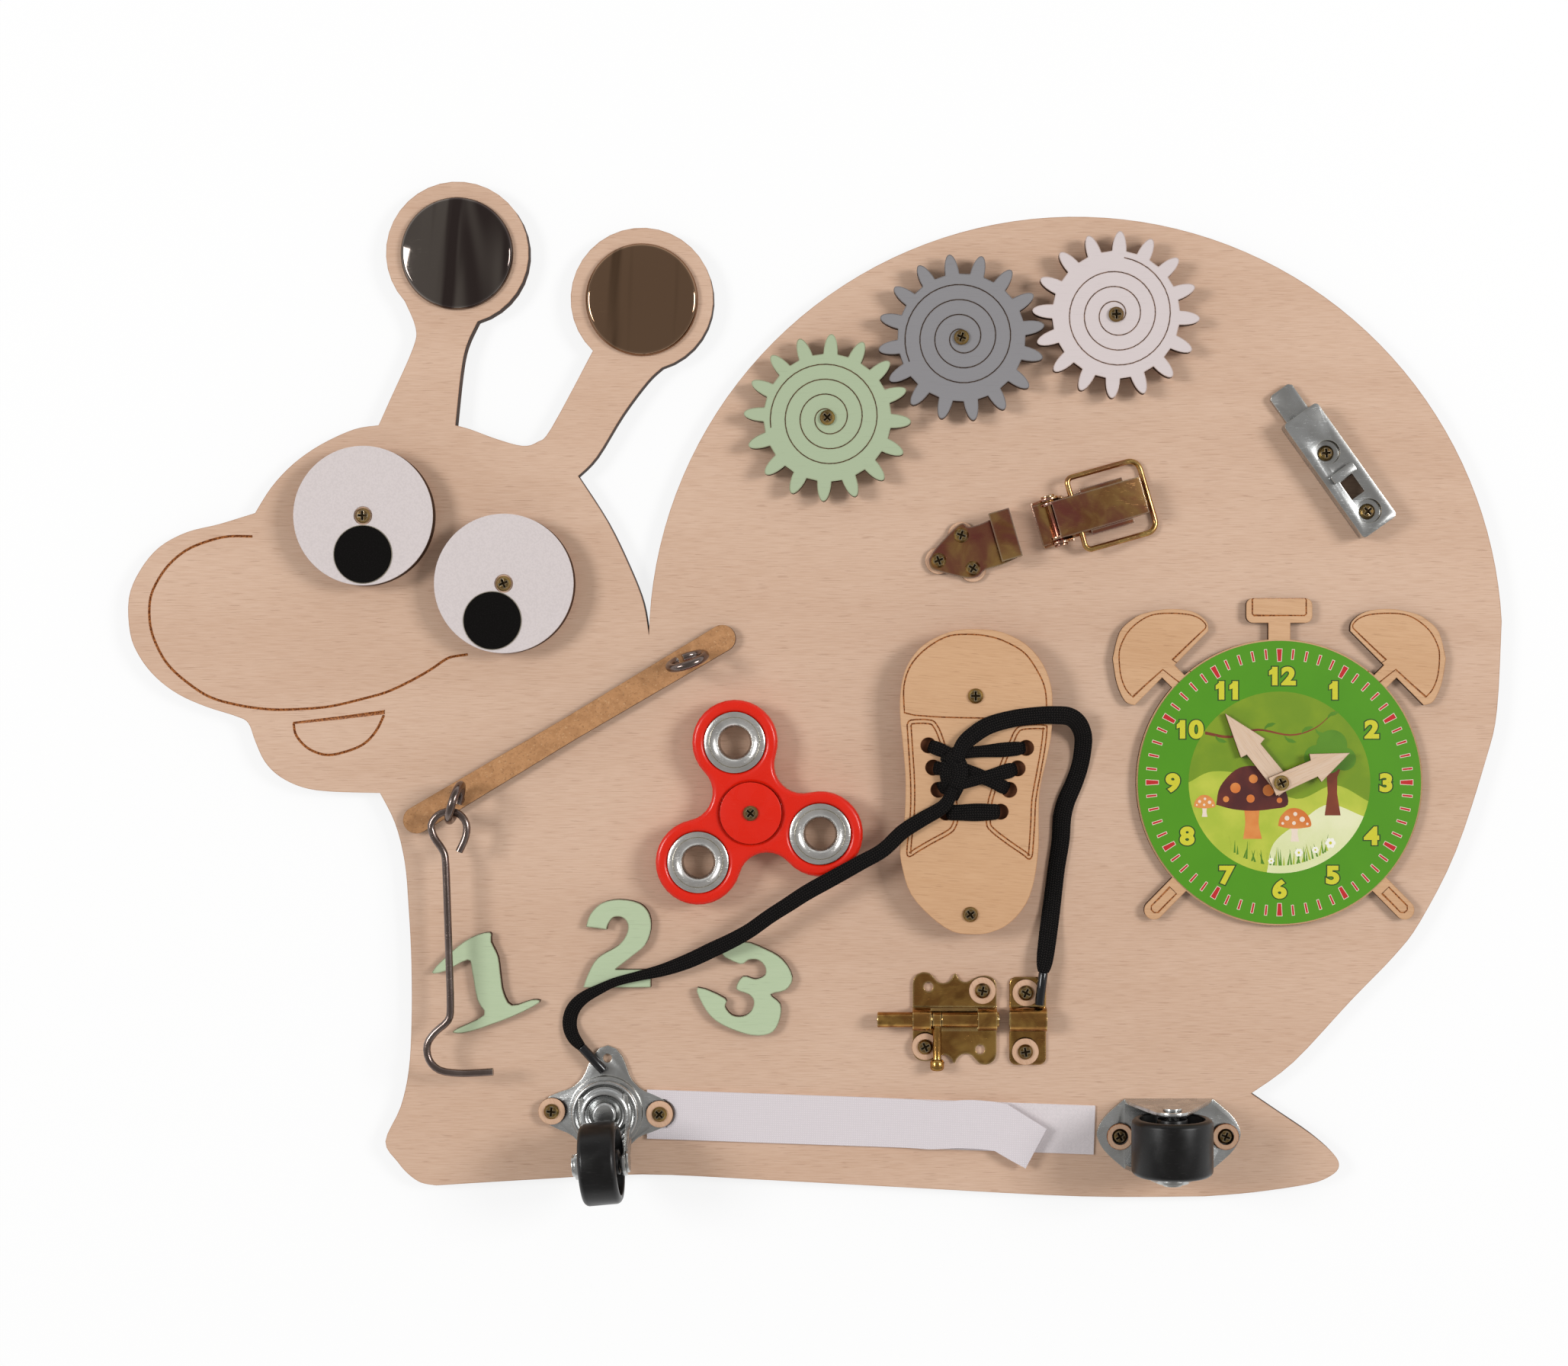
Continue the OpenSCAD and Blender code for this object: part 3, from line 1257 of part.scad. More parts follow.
module loop_tape() {
    low = face + tape_t;
    lift = 2.4;
    under = [[95, low], [104, low + 0.4], [112, low + 1.4], [120, low + lift],
        [loop_tape_l, low + lift]];
    line = concat([[0, low]], curve(under, 3), [[loop_tape_l, low + lift]]);
    top = [for (i = [len(line) - 1:-1:0]) line[i] + [0, tape_t]];
    color([0.95, 0.95, 0.94]) {
        difference() {
            translate([tape_c[0], tape_c[1], 0]) rotate(tape_turn)
                upright(-tape_w / 2, tape_w, concat(line, top));
            tape_keep_out();
        }
        translate([0, 0, low + lift + tape_t]) linear_extrude(tape_t)
            polygon([[72, -153.5], [84, -160.5], [77, -175], [65.5, -168.5], [64, -160]]);
    }
}

// ---- Hook ----

module hook() {
    flat = curve(hook_points, 3);
    color([0.72, 0.69, 0.6]) tube([for (p = concat(flat, [hook_points[20]]))
        [p[0], p[1], ring_z - 0.25]], hook_wire_r, hook_wire_r, 12);
}

// ---- Drawing ----

board_panel();
mirrors();
stick_bar();
screw_eye_left();
screw_eye_right();
number_one();
number_two();
number_three();
clock_case();
clock_dial();
shoe_plate();
shoe_spacers();
lace_crossings();
lace_left_tail();
lace_right_tail();
aglet_left();
aglet_right();
pivot_spacers();
pivot_screws();
spinner_caps();
bearing_inner_race();
slide_bolt_case();
catch_plate();
catch_spacers();
latch_base();
latch_pin();
barrel_bolt_plate();
barrel_bolt_strike();
ply_washers();
mounting_screws();
hook_tape();
loop_tape();
castor_left_plate();
castor_right_bracket();
castor_right_axle();
gear_green();
gear_grey();
gear_white();
eye_left_disc();
eye_left_facing();
eye_left_pupil();
eye_right_disc();
eye_right_facing();
eye_right_pupil();
spinner_body();
spinner_weights();
bearing_outer();
clock_minute_hand();
clock_hour_hand();
barrel_bolt_rod();
barrel_bolt_knob();
slide_bolt_bar();
latch_lever();
latch_bail();
castor_fork();
castor_left_wheel();
castor_left_axle();
castor_right_wheel();
hook();
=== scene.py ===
"""Dresses a snail-shaped wooden busy board: finishes, engraved lines, lace, tape, dial and small hardware."""

import json
import logging
import math
import random
from dataclasses import dataclass, field
from enum import Enum
from typing import Callable, Sequence

import bmesh
import bpy
from mathutils import Matrix, Vector

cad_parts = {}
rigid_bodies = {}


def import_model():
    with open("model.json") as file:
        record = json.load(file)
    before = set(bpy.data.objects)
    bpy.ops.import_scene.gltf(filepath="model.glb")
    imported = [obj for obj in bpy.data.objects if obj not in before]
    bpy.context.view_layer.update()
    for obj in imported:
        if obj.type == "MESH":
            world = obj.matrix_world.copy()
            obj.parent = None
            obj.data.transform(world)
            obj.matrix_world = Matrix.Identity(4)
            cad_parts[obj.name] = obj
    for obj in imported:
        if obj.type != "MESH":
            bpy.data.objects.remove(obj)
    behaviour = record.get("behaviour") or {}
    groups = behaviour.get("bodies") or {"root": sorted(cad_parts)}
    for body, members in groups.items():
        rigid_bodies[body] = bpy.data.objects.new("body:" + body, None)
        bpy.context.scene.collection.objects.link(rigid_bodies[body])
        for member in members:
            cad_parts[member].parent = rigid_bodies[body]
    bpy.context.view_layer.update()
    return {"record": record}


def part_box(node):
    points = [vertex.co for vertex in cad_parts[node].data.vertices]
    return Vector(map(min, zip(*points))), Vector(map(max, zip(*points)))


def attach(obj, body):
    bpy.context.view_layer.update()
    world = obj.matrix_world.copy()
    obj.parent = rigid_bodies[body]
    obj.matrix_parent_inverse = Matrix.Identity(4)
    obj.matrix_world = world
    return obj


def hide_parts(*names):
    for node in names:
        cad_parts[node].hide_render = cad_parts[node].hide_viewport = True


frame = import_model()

MM = 0.001
FACE = 6.0  # height of the board's face over its back, in mm
BRAID_SIDES = 20  # corners of a lace's section
LOG = logging.getLogger("busy_board")
logging.basicConfig(level=logging.INFO, format="%(name)s: %(message)s")

Colour = tuple[float, float, float, float]
Place = tuple[float, float]
Spot = tuple[float, float, float]
Line = Sequence[Place]
Route = Sequence[Spot]
Piece = bpy.types.Object
Shape = bmesh.types.BMesh
Node = bpy.types.Node
Tree = bpy.types.NodeTree
Socket = bpy.types.NodeSocket
Sockets = bpy.types.bpy_prop_collection
Value = Socket | float | Sequence[float]


def paint(red: int, green: int, blue: int) -> Colour:
    """Turn a colour written in steps of 0 to 255 into linear values.

    Args:
        red: steps of red.
        green: steps of green.
        blue: steps of blue.

    Returns:
        The colour.
    """

    def linear(step: int) -> float:
        """Undo the display's curve for one step."""
        share = step / 255
        return share / 12.92 if share <= 0.04045 else ((share + 0.055) / 1.055) ** 2.4

    return (linear(red), linear(green), linear(blue), 1.0)


# ---- Node wiring ----


class Wiring:
    """Places and joins the nodes of one material or one node group."""

    def __init__(self, tree: Tree) -> None:
        """Keep the tree that the nodes go into."""
        self.tree = tree

    def put(self, socket: Socket, value: Value) -> None:
        """Join an output to a socket, or set the socket's own value."""
        if isinstance(value, Socket):
            self.tree.links.new(value, socket)
        else:
            socket.default_value = value

    def feed(self, sockets: Sockets, **values: Value) -> None:
        """Put values into sockets by their names, with an underscore for each space in a name."""
        for name, value in values.items():
            self.put(sockets[name.replace("_", " ")], value)

    def add(self, kind: str, values: dict[str | int, Value] | None = None, **settings: object) -> Node:
        """Add a node.

        Args:
            kind: Blender's name of the node type.
            values: what goes into each input, by its name or number.
            settings: the node's own options.

        Returns:
            The new node.
        """
        node = self.tree.nodes.new(kind)
        for name, value in settings.items():
            setattr(node, name, value)
        for key, value in (values or {}).items():
            self.put(node.inputs[key], value)
        return node

    def sum(self, operation: str, first: Value, second: Value = 0.0, third: Value = 0.0) -> Socket:
        """Add a Math node and give its output."""
        return self.add("ShaderNodeMath", {0: first, 1: second, 2: third}, operation=operation).outputs[0]

    def here(self) -> Socket:
        """Give the piece's own coordinates."""
        return self.add("ShaderNodeTexCoord").outputs["Object"]

    def turned(self, vector: Value, turn: Value) -> Socket:
        """Turn a vector about Z by an angle in radians."""
        return self.add("ShaderNodeVectorRotate", {"Vector": vector, "Angle": turn}).outputs[0]

    def sized(self, vector: Value, size: Value) -> Socket:
        """Scale a vector alike along all axes."""
        return self.add("ShaderNodeVectorMath", {0: vector, "Scale": size}, operation="SCALE").outputs[0]

    def streaks(self, vector: Value, scale: Spot, detail: float, distortion: float = 0.0) -> Socket:
        """Give the value of a noise over a vector that is scaled along each axis first."""
        scaled = self.add("ShaderNodeVectorMath", {0: vector, 1: scale}, operation="MULTIPLY").outputs[0]
        return self.noise(scaled, detail, distortion)

    def stretched(self, scale: Spot, turn: float = 0.0) -> Socket:
        """Give the piece's own coordinates, turned about Z and scaled for a texture."""
        turned = self.turned(self.here(), turn)
        return self.add("ShaderNodeVectorMath", {0: turned, 1: scale}, operation="MULTIPLY").outputs[0]

    def cloud(self, scale: Spot, detail: float, distortion: float = 0.0, turn: float = 0.0) -> Socket:
        """Give the value of a noise over the piece's own coordinates, turned about Z and scaled."""
        return self.noise(self.stretched(scale, turn), detail, distortion)

    def times(self, first: Value, second: Value) -> Socket:
        """Multiply two values."""
        return self.sum("MULTIPLY", first, second)

    def blend(self, share: Value, below: Value, above: Value) -> Socket:
        """Mix two colours by a share and give the colour that comes out."""
        return self.add("ShaderNodeMix", {0: share, 6: below, 7: above}, data_type="RGBA").outputs[2]

    def band(self, value: Value, low: float, high: float, start: float = 0.0, end: float = 1.0) -> Socket:
        """Move a value smoothly from start to end while it goes from low to high."""
        values = {0: value, 1: low, 2: high, 3: start, 4: end}
        return self.add("ShaderNodeMapRange", values, interpolation_type="SMOOTHSTEP").outputs[0]

    def noise(self, vector: Value, detail: float, distortion: float) -> Socket:
        """Add a noise texture at a scale of one and give its value."""
        values = {"Vector": vector, "Scale": 1.0, "Detail": detail, "Distortion": distortion}
        return self.add("ShaderNodeTexNoise", values).outputs[0]

    def edge(self, normal: Value, reach: Value, samples: int) -> Socket:
        """Tell how far the normal of a rounded surface goes along with the real one: 1 away from any edge.

        Args:
            normal: the surface's normal.
            reach: how far the rounding reaches, in metres.
            samples: how many directions are tried.

        Returns:
            The share.
        """
        rounded = self.add("ShaderNodeBevel", {"Radius": reach}, samples=samples).outputs[0]
        return self.add("ShaderNodeVectorMath", {0: normal, 1: rounded}, operation="DOT_PRODUCT").outputs["Value"]

    def normal(self) -> Socket:
        """Give the surface's normal."""
        return self.add("ShaderNodeNewGeometry").outputs["Normal"]


class MaterialWiring(Wiring):
    """Places and joins the nodes round a material's shader."""

    def __init__(self, material: bpy.types.Material) -> None:
        """Keep the material's nodes and its shader."""
        super().__init__(material.node_tree)
        self.shader = material.node_tree.nodes["Principled BSDF"]

    def shade(self, **values: Value) -> None:
        """Put values into the shader's inputs, with an underscore for each space in a name."""
        self.feed(self.shader.inputs, **values)

    def raise_grain(self, height: Value, depth: float, strength: float = 1.0) -> None:
        """Give the surface relief from a height, whose full step is depth in metres."""
        values = {"Strength": strength, "Distance": depth, "Height": height}
        self.shade(Normal=self.add("ShaderNodeBump", values).outputs[0])


class Effect(Enum):
    """The effects that several materials share, each of them one node group."""

    BURNT_EDGE = "Burnt Edge"
    PLY_GRAIN = "Ply Grain"
    HANDLING = "Handling Wear"
    YARN = "Yarn Weave"


class EffectShop:
    """Builds each shared effect once and places it in the materials."""

    def __init__(self) -> None:
        """Start with no groups."""
        self.groups: dict[Effect, Tree] = {}

    def place(self, wiring: Wiring, effect: Effect, **values: Value) -> Sockets:
        """Place an effect in a material.

        Args:
            wiring: the material's nodes.
            effect: the effect to place.
            values: the group's inputs, with an underscore for each space in a name.

        Returns:
            The group's outputs.
        """
        if effect not in self.groups:
            self.groups[effect] = getattr(self, "_" + effect.name.lower())()
        node = wiring.add("ShaderNodeGroup", node_tree=self.groups[effect])
        wiring.feed(node.inputs, **values)
        return node.outputs

    @staticmethod
    def _open(effect: Effect, inputs: dict[str, float], outputs: Sequence[str]) -> tuple[Wiring, Sockets, Sockets]:
        """Start a group whose inputs and outputs are numbers.

        Args:
            effect: the group's effect.
            inputs: the default of each input by its name.
            outputs: the names of the outputs.

        Returns:
            The group's wiring, what comes in, and where the results go.
        """
        tree = bpy.data.node_groups.new(effect.value, "ShaderNodeTree")
        for name, default in inputs.items():
            tree.interface.new_socket(name, in_out="INPUT", socket_type="NodeSocketFloat").default_value = default
        for name in outputs:
            tree.interface.new_socket(name, in_out="OUTPUT", socket_type="NodeSocketFloat")
        wiring = Wiring(tree)
        return wiring, wiring.add("NodeGroupInput").outputs, wiring.add("NodeGroupOutput").inputs

    def _burnt_edge(self) -> Tree:
        """Mask what a laser burnt: the cut walls, and a scorched line on the face beside them.

        Returns:
            The group.
        """
        wiring, given, out = self._open(
            Effect.BURNT_EDGE, {"Reach": 0.0006, "Scorch": 1.0}, ["Wall", "Steep", "Scorch"]
        )
        normal = wiring.normal()
        level = wiring.sum("ABSOLUTE", wiring.add("ShaderNodeSeparateXYZ", {0: normal}).outputs[2])
        wall = wiring.band(level, 0.8, 0.95, 1.0, 0.0)
        steep = wiring.band(level, 0.35, 0.6, 1.0, 0.0)
        near = wiring.band(wiring.edge(normal, given["Reach"], 6), 0.86, 0.998, 1.0, 0.0)
        uneven = wiring.band(wiring.cloud((90, 90, 90), 2.0), 0.35, 0.65, 0.55, 1.0)
        scorch = wiring.times(wiring.times(near, uneven), given["Scorch"])
        wiring.feed(out, Wall=wall, Steep=steep, Scorch=scorch)
        return wiring.tree

    def _ply_grain(self) -> Tree:
        """Draw rotary-cut birch grain: wide soft bands, fine fibres and short dark pores along one direction.

        Returns:
            The group.
        """
        wiring, given, out = self._open(Effect.PLY_GRAIN, {"Turn": 0.0, "Size": 1.0}, ["Band", "Fibre", "Pore"])
        along = wiring.sized(wiring.turned(wiring.here(), given["Turn"]), given["Size"])
        bands = wiring.band(wiring.streaks(along, (5, 38, 38), 4.0, 0.6), 0.32, 0.68)
        fibres = wiring.streaks(along, (120, 2500, 2500), 4.0)
        pores = wiring.band(wiring.streaks(along, (130, 2600, 1200), 1.0), 0.64, 0.72)
        wiring.feed(out, Band=bands, Fibre=fibres, Pore=pores)
        return wiring.tree

    def _handling(self) -> Tree:
        """Mask smudges, fine scuffs and rubbed edges.

        Returns:
            The group.
        """
        wiring, given, out = self._open(Effect.HANDLING, {"Size": 1.0, "Rub": 0.0008}, ["Smudge", "Scuff", "Rubbed"])
        spread = wiring.sized(wiring.here(), given["Size"])
        along = wiring.edge(wiring.normal(), given["Rub"], 4)
        smudges = wiring.band(wiring.streaks(spread, (120, 120, 120), 3.0, 0.8), 0.35, 0.7)
        scuffs = wiring.band(wiring.streaks(spread, (300, 2600, 1500), 2.0, 0.8), 0.6, 0.72)
        wiring.feed(out, Smudge=smudges, Scuff=scuffs, Rubbed=wiring.band(along, 0.84, 0.99, 1.0, 0.0))
        return wiring.tree

    def _yarn(self) -> Tree:
        """Weave a herringbone of yarns from a map whose U runs along a strip and V across it, both in metres.

        Returns:
            The group.
        """
        wiring, given, out = self._open(Effect.YARN, {"Pitch": 0.0014, "Slant": 1.0}, ["Height", "Gap"])
        strip_map = wiring.add("ShaderNodeUVMap", uv_map="Strip").outputs[0]
        place = wiring.add("ShaderNodeSeparateXYZ", {0: strip_map}).outputs
        across = wiring.sum("DIVIDE", place[1], given["Pitch"])
        row = wiring.sum("FLOOR", across)
        odd = wiring.sum("MODULO", wiring.sum("ABSOLUTE", row), 2.0)
        side = wiring.sum("SUBTRACT", wiring.times(odd, 2.0), 1.0)
        within = wiring.sum("SUBTRACT", across, row)
        slant = wiring.times(wiring.times(side, within), given["Slant"])
        run = wiring.sum("ADD", wiring.sum("DIVIDE", place[0], given["Pitch"]), slant)
        strand = wiring.sum("SINE", wiring.times(run, 2 * math.pi))
        edge = wiring.sum("SINE", wiring.times(within, math.pi))
        height = wiring.times(wiring.band(strand, -1.0, 0.6), wiring.band(edge, 0.0, 0.7))
        wiring.feed(out, Height=height, Gap=wiring.sum("SUBTRACT", 1.0, height))
        return wiring.tree


EFFECTS = EffectShop()


# ---- Finishes ----


@dataclass(frozen=True)
class Finish:
    """What every finish has: a name, a colour and how rough it is."""

    name: str
    colour: Colour
    roughness: float = 0.5

    def material(self) -> bpy.types.Material:
        """Give the finish's material, which is built at its first use.

        Returns:
            The material.
        """
        known = bpy.data.materials.get(self.name)
        if known is not None:
            return known
        made = bpy.data.materials.new(self.name)
        made.use_nodes = True
        made.diffuse_color = self.colour
        wiring = MaterialWiring(made)
        wiring.shade(Base_Color=self.colour, Roughness=self.roughness)
        self.wire(wiring)
        return made

    def wire(self, wiring: MaterialWiring) -> None:
        """Add the finish's own nodes; the plain finish has none."""


@dataclass(frozen=True)
class Plywood(Finish):
    """Thin birch plywood, bare or stained, with the burnt walls and lines that a laser leaves."""

    deep: Colour = paint(200, 163, 128)
    char: Colour = paint(48, 30, 19)
    line: Colour = paint(112, 60, 28)
    halo: Colour = paint(176, 112, 62)
    singe: Colour = paint(142, 88, 48)
    turn: float = 0.0
    grain: float = 1.0
    scorch: float = 0.75
    reach: float = 0.0006

    def wire(self, wiring: MaterialWiring) -> None:
        """Lay the grain over the colour, then the burnt parts over both.

        Args:
            wiring: the material's nodes.
        """
        wiring.shade(Specular_IOR_Level=0.14)
        grain = EFFECTS.place(wiring, Effect.PLY_GRAIN, Turn=self.turn)
        burnt = EFFECTS.place(wiring, Effect.BURNT_EDGE, Reach=self.reach, Scorch=self.scorch)
        share = wiring.times(grain["Band"], 0.26 * self.grain)
        fibre = wiring.times(wiring.band(grain["Fibre"], 0.36, 0.68), 0.34 * self.grain)
        tone = wiring.blend(wiring.sum("ADD", share, fibre), self.colour, self.deep)
        pored = wiring.blend(wiring.times(grain["Pore"], 0.22 * self.grain), tone, self.line)
        scorched = wiring.blend(burnt["Scorch"], pored, self.singe)
        layers = wiring.band(wiring.cloud((30, 30, 900), 2.0), 0.4, 0.62)
        sides = wiring.blend(wiring.times(layers, 0.35), self.char, paint(92, 58, 34))
        stroke = wiring.band(wiring.cloud((1500, 1500, 200), 1.0), 0.4, 0.6)
        wall = wiring.blend(burnt["Steep"], wiring.blend(stroke, self.line, self.halo), sides)
        rough = wiring.sum("ADD", wiring.times(grain["Fibre"], 0.18), self.roughness)
        wiring.shade(Base_Color=wiring.blend(burnt["Wall"], scorched, wall), Roughness=rough)
        wiring.raise_grain(grain["Fibre"], 0.00006, 0.6)


@dataclass(frozen=True)
class Stained(Plywood):
    """Plywood under a thin stain that hides most of its grain."""

    grain: float = 0.3
    scorch: float = 0.8
    reach: float = 0.0009


@dataclass(frozen=True)
class Plated(Finish):
    """Plated or polished metal with smudges, fine scuffs and bright rubbed edges."""

    tarnish: Colour = paint(150, 110, 60)
    bloom: Colour = paint(150, 110, 120)
    spread: float = 0.35
    rub: float = 0.0005
    scuff: float = 0.5
    peel: float = 0.3
    rim: Colour = paint(238, 232, 214)

    def wire(self, wiring: MaterialWiring) -> None:
        """Drift between the plating's colours, brighten the edges and scratch the gloss.

        Args:
            wiring: the material's nodes.
        """
        wiring.shade(Metallic=1.0)
        wear = EFFECTS.place(wiring, Effect.HANDLING, Rub=self.rub)
        drift = wiring.band(wiring.cloud((55, 70, 60), 3.0, 1.2, 0.7), 0.36, 0.64)
        toned = wiring.blend(wiring.times(wear["Smudge"], self.spread), self.colour, self.tarnish)
        bloomed = wiring.blend(wiring.times(drift, self.spread), toned, self.bloom)
        rubbed = wiring.times(wear["Rubbed"], 0.55)
        rough = wiring.sum("ADD", wiring.times(wear["Scuff"], 0.25 * self.scuff), self.roughness)
        smudged = wiring.sum("ADD", wiring.times(wear["Smudge"], 0.06), rough)
        wiring.shade(Base_Color=wiring.blend(rubbed, bloomed, self.rim), Roughness=smudged)
        peel = wiring.cloud((900, 900, 900), 2.0)
        scuffs = wiring.times(wear["Scuff"], 0.4)
        relief = wiring.sum("ADD", scuffs, wiring.times(peel, self.peel))
        wiring.raise_grain(relief, 0.00003, 0.3 + 0.5 * self.peel)


@dataclass(frozen=True)
class Moulded(Finish):
    """Moulded plastic with a fine skin, scuffs and paler rubbed edges."""

    worn: Colour = paint(120, 120, 120)
    wear: float = 0.15
    coat: float = 0.0

    def wire(self, wiring: MaterialWiring) -> None:
        """Scuff the plastic and rub its edges paler.

        Args:
            wiring: the material's nodes.
        """
        wiring.shade(Coat_Weight=self.coat, Coat_Roughness=0.08, Specular_IOR_Level=0.35)
        marks = EFFECTS.place(wiring, Effect.HANDLING, Rub=0.0006)
        rubbed = wiring.times(wiring.sum("MAXIMUM", marks["Rubbed"], marks["Scuff"]), self.wear)
        rough = wiring.sum("ADD", wiring.times(marks["Smudge"], 0.12), self.roughness)
        wiring.shade(Base_Color=wiring.blend(rubbed, self.colour, self.worn), Roughness=rough)
        fine = wiring.cloud((2600, 2600, 2600), 1.0)
        wiring.raise_grain(fine, 0.00002, 0.25)


@dataclass(frozen=True)
class Leatherette(Finish):
    """Pale leather cloth with a pebbled grain."""

    def wire(self, wiring: MaterialWiring) -> None:
        """Press a pebble grain into the cloth and paint shade into its creases.

        Args:
            wiring: the material's nodes.
        """
        wiring.shade(Sheen_Weight=0.15)
        values = {"Vector": wiring.stretched((1, 1, 1)), "Scale": 1700.0}
        cells = wiring.add("ShaderNodeTexVoronoi", values, feature="SMOOTH_F1").outputs[0]
        pebble = wiring.band(cells, 0.1, 0.75, 1.0, 0.0)
        soft = wiring.cloud((420, 420, 420), 4.0)
        height = wiring.sum("ADD", wiring.times(pebble, 0.7), wiring.times(soft, 0.5))
        # painted shade: the low creases of the grain are painted darker
        crease_shade = wiring.band(height, 0.25, 0.85, 0.12, 0.0)
        wiring.shade(Base_Color=wiring.blend(crease_shade, self.colour, paint(150, 142, 140)))
        wiring.raise_grain(height, 0.00005, 0.6)


@dataclass(frozen=True)
class Flocked(Finish):
    """Black flock or pressed cloth that swallows the light."""

    fuzz: Colour = paint(26, 24, 24)

    def wire(self, wiring: MaterialWiring) -> None:
        """Scatter short fibres over the ground.

        Args:
            wiring: the material's nodes.
        """
        wiring.shade(Sheen_Weight=0.03, Specular_IOR_Level=0.1)
        fibres = wiring.cloud((2600, 2600, 2600), 2.0)
        wiring.shade(Base_Color=wiring.blend(wiring.band(fibres, 0.5, 0.8), self.colour, self.fuzz))
        wiring.raise_grain(fibres, 0.0001, 0.6)


@dataclass(frozen=True)
class Hardboard(Finish):
    """Raw hardboard: pressed fibres with dark and pale specks, and burnt walls."""

    char: Colour = paint(58, 36, 22)

    def wire(self, wiring: MaterialWiring) -> None:
        """Speckle the face and burn the walls.

        Args:
            wiring: the material's nodes.
        """
        burnt = EFFECTS.place(wiring, Effect.BURNT_EDGE, Reach=0.0004, Scorch=0.6)
        wide = wiring.band(wiring.cloud((260, 260, 260), 4.0, 1.0), 0.3, 0.7)
        specks = wiring.band(wiring.cloud((1100, 1500, 1100), 3.0), 0.56, 0.7)
        pale = wiring.band(wiring.cloud((1400, 1000, 1200), 2.0, turn=0.6), 0.6, 0.72)
        tone = wiring.blend(wide, self.colour, paint(166, 118, 74))
        dark = wiring.blend(wiring.times(specks, 0.45), tone, paint(112, 76, 44))
        light = wiring.blend(wiring.times(pale, 0.26), dark, paint(224, 190, 146))
        scorched = wiring.blend(burnt["Scorch"], light, self.char)
        wiring.shade(Base_Color=wiring.blend(burnt["Wall"], scorched, self.char))
        wiring.raise_grain(specks, 0.00006, 0.6)


@dataclass(frozen=True)
class Braid(Finish):
    """Flat braided lace: crossing yarns with a soft shine on their crowns."""

    # crown: the colour of the painted highlight on the yarns' crowns
    crown: Colour = paint(44, 40, 38)
    pitch: float = 0.0009

    def wire(self, wiring: MaterialWiring) -> None:
        """Raise the yarns and paint a highlight on their crowns.

        Args:
            wiring: the material's nodes.
        """
        wiring.shade(Specular_IOR_Level=0.12)
        yarn = EFFECTS.place(wiring, Effect.YARN, Pitch=self.pitch)
        fuzz = wiring.cloud((3200, 3200, 3200), 2.0)
        # painted highlight: the crowns of the yarns are painted lighter
        crowns = wiring.band(yarn["Height"], 0.35, 1.0)
        share = wiring.times(crowns, wiring.band(fuzz, 0.3, 0.7, 0.3, 1.0))
        wiring.shade(Base_Color=wiring.blend(share, self.colour, self.crown))
        wiring.raise_grain(yarn["Height"], 0.0005, 1.0)


@dataclass(frozen=True)
class Tape(Finish):
    """Hook-and-loop tape: woven ground with rows of hooks, or a napped loop face."""

    rows: float = 620.0  # a metre
    nap: float = 0.5
    slant: float = 0.036

    def wire(self, wiring: MaterialWiring) -> None:
        """Weave the ground, stand hooks or loops on it, and paint shade into its low parts.

        Args:
            wiring: the material's nodes.
        """
        wiring.shade(Sheen_Weight=0.3)
        wave = self.rows * 2 * math.pi
        grid = wiring.stretched((wave, wave, 1.0), self.slant)
        place = wiring.add("ShaderNodeSeparateXYZ", {0: grid}).outputs
        warp = wiring.sum("SINE", place[0])
        weft = wiring.sum("SINE", place[1])
        hooks = wiring.times(wiring.band(warp, -0.4, 0.9), wiring.band(weft, -0.4, 0.9))
        loops = wiring.cloud((1500, 1500, 1500), 4.0, 1.5)
        height = wiring.add("ShaderNodeMix", {0: self.nap, 2: hooks, 3: loops}, data_type="FLOAT").outputs[0]
        # painted shade: the low parts of the weave are painted greyer
        shade = wiring.band(height, 0.15, 0.7, 0.36, 0.0)
        wiring.shade(Base_Color=wiring.blend(shade, self.colour, paint(186, 180, 182)))
        wiring.raise_grain(height, 0.0003, 0.3 + 0.4 * self.nap)


@dataclass(frozen=True)
class Print(Finish):
    """Ink on coated card: flat colour with a faint mottle under a thin gloss."""

    roughness: float = 0.35
    mottle: Colour = paint(70, 130, 30)
    amount: float = 0.25

    def wire(self, wiring: MaterialWiring) -> None:
        """Mottle the ink a little.

        Args:
            wiring: the material's nodes.
        """
        wiring.shade(Coat_Weight=0.25)
        cloud = wiring.band(wiring.cloud((70, 70, 70), 4.0), 0.35, 0.65, 0.0, self.amount)
        wiring.shade(Base_Color=wiring.blend(cloud, self.colour, self.mottle))
        wiring.raise_grain(wiring.cloud((1800, 1800, 1800), 2.0), 0.00002, 0.3)


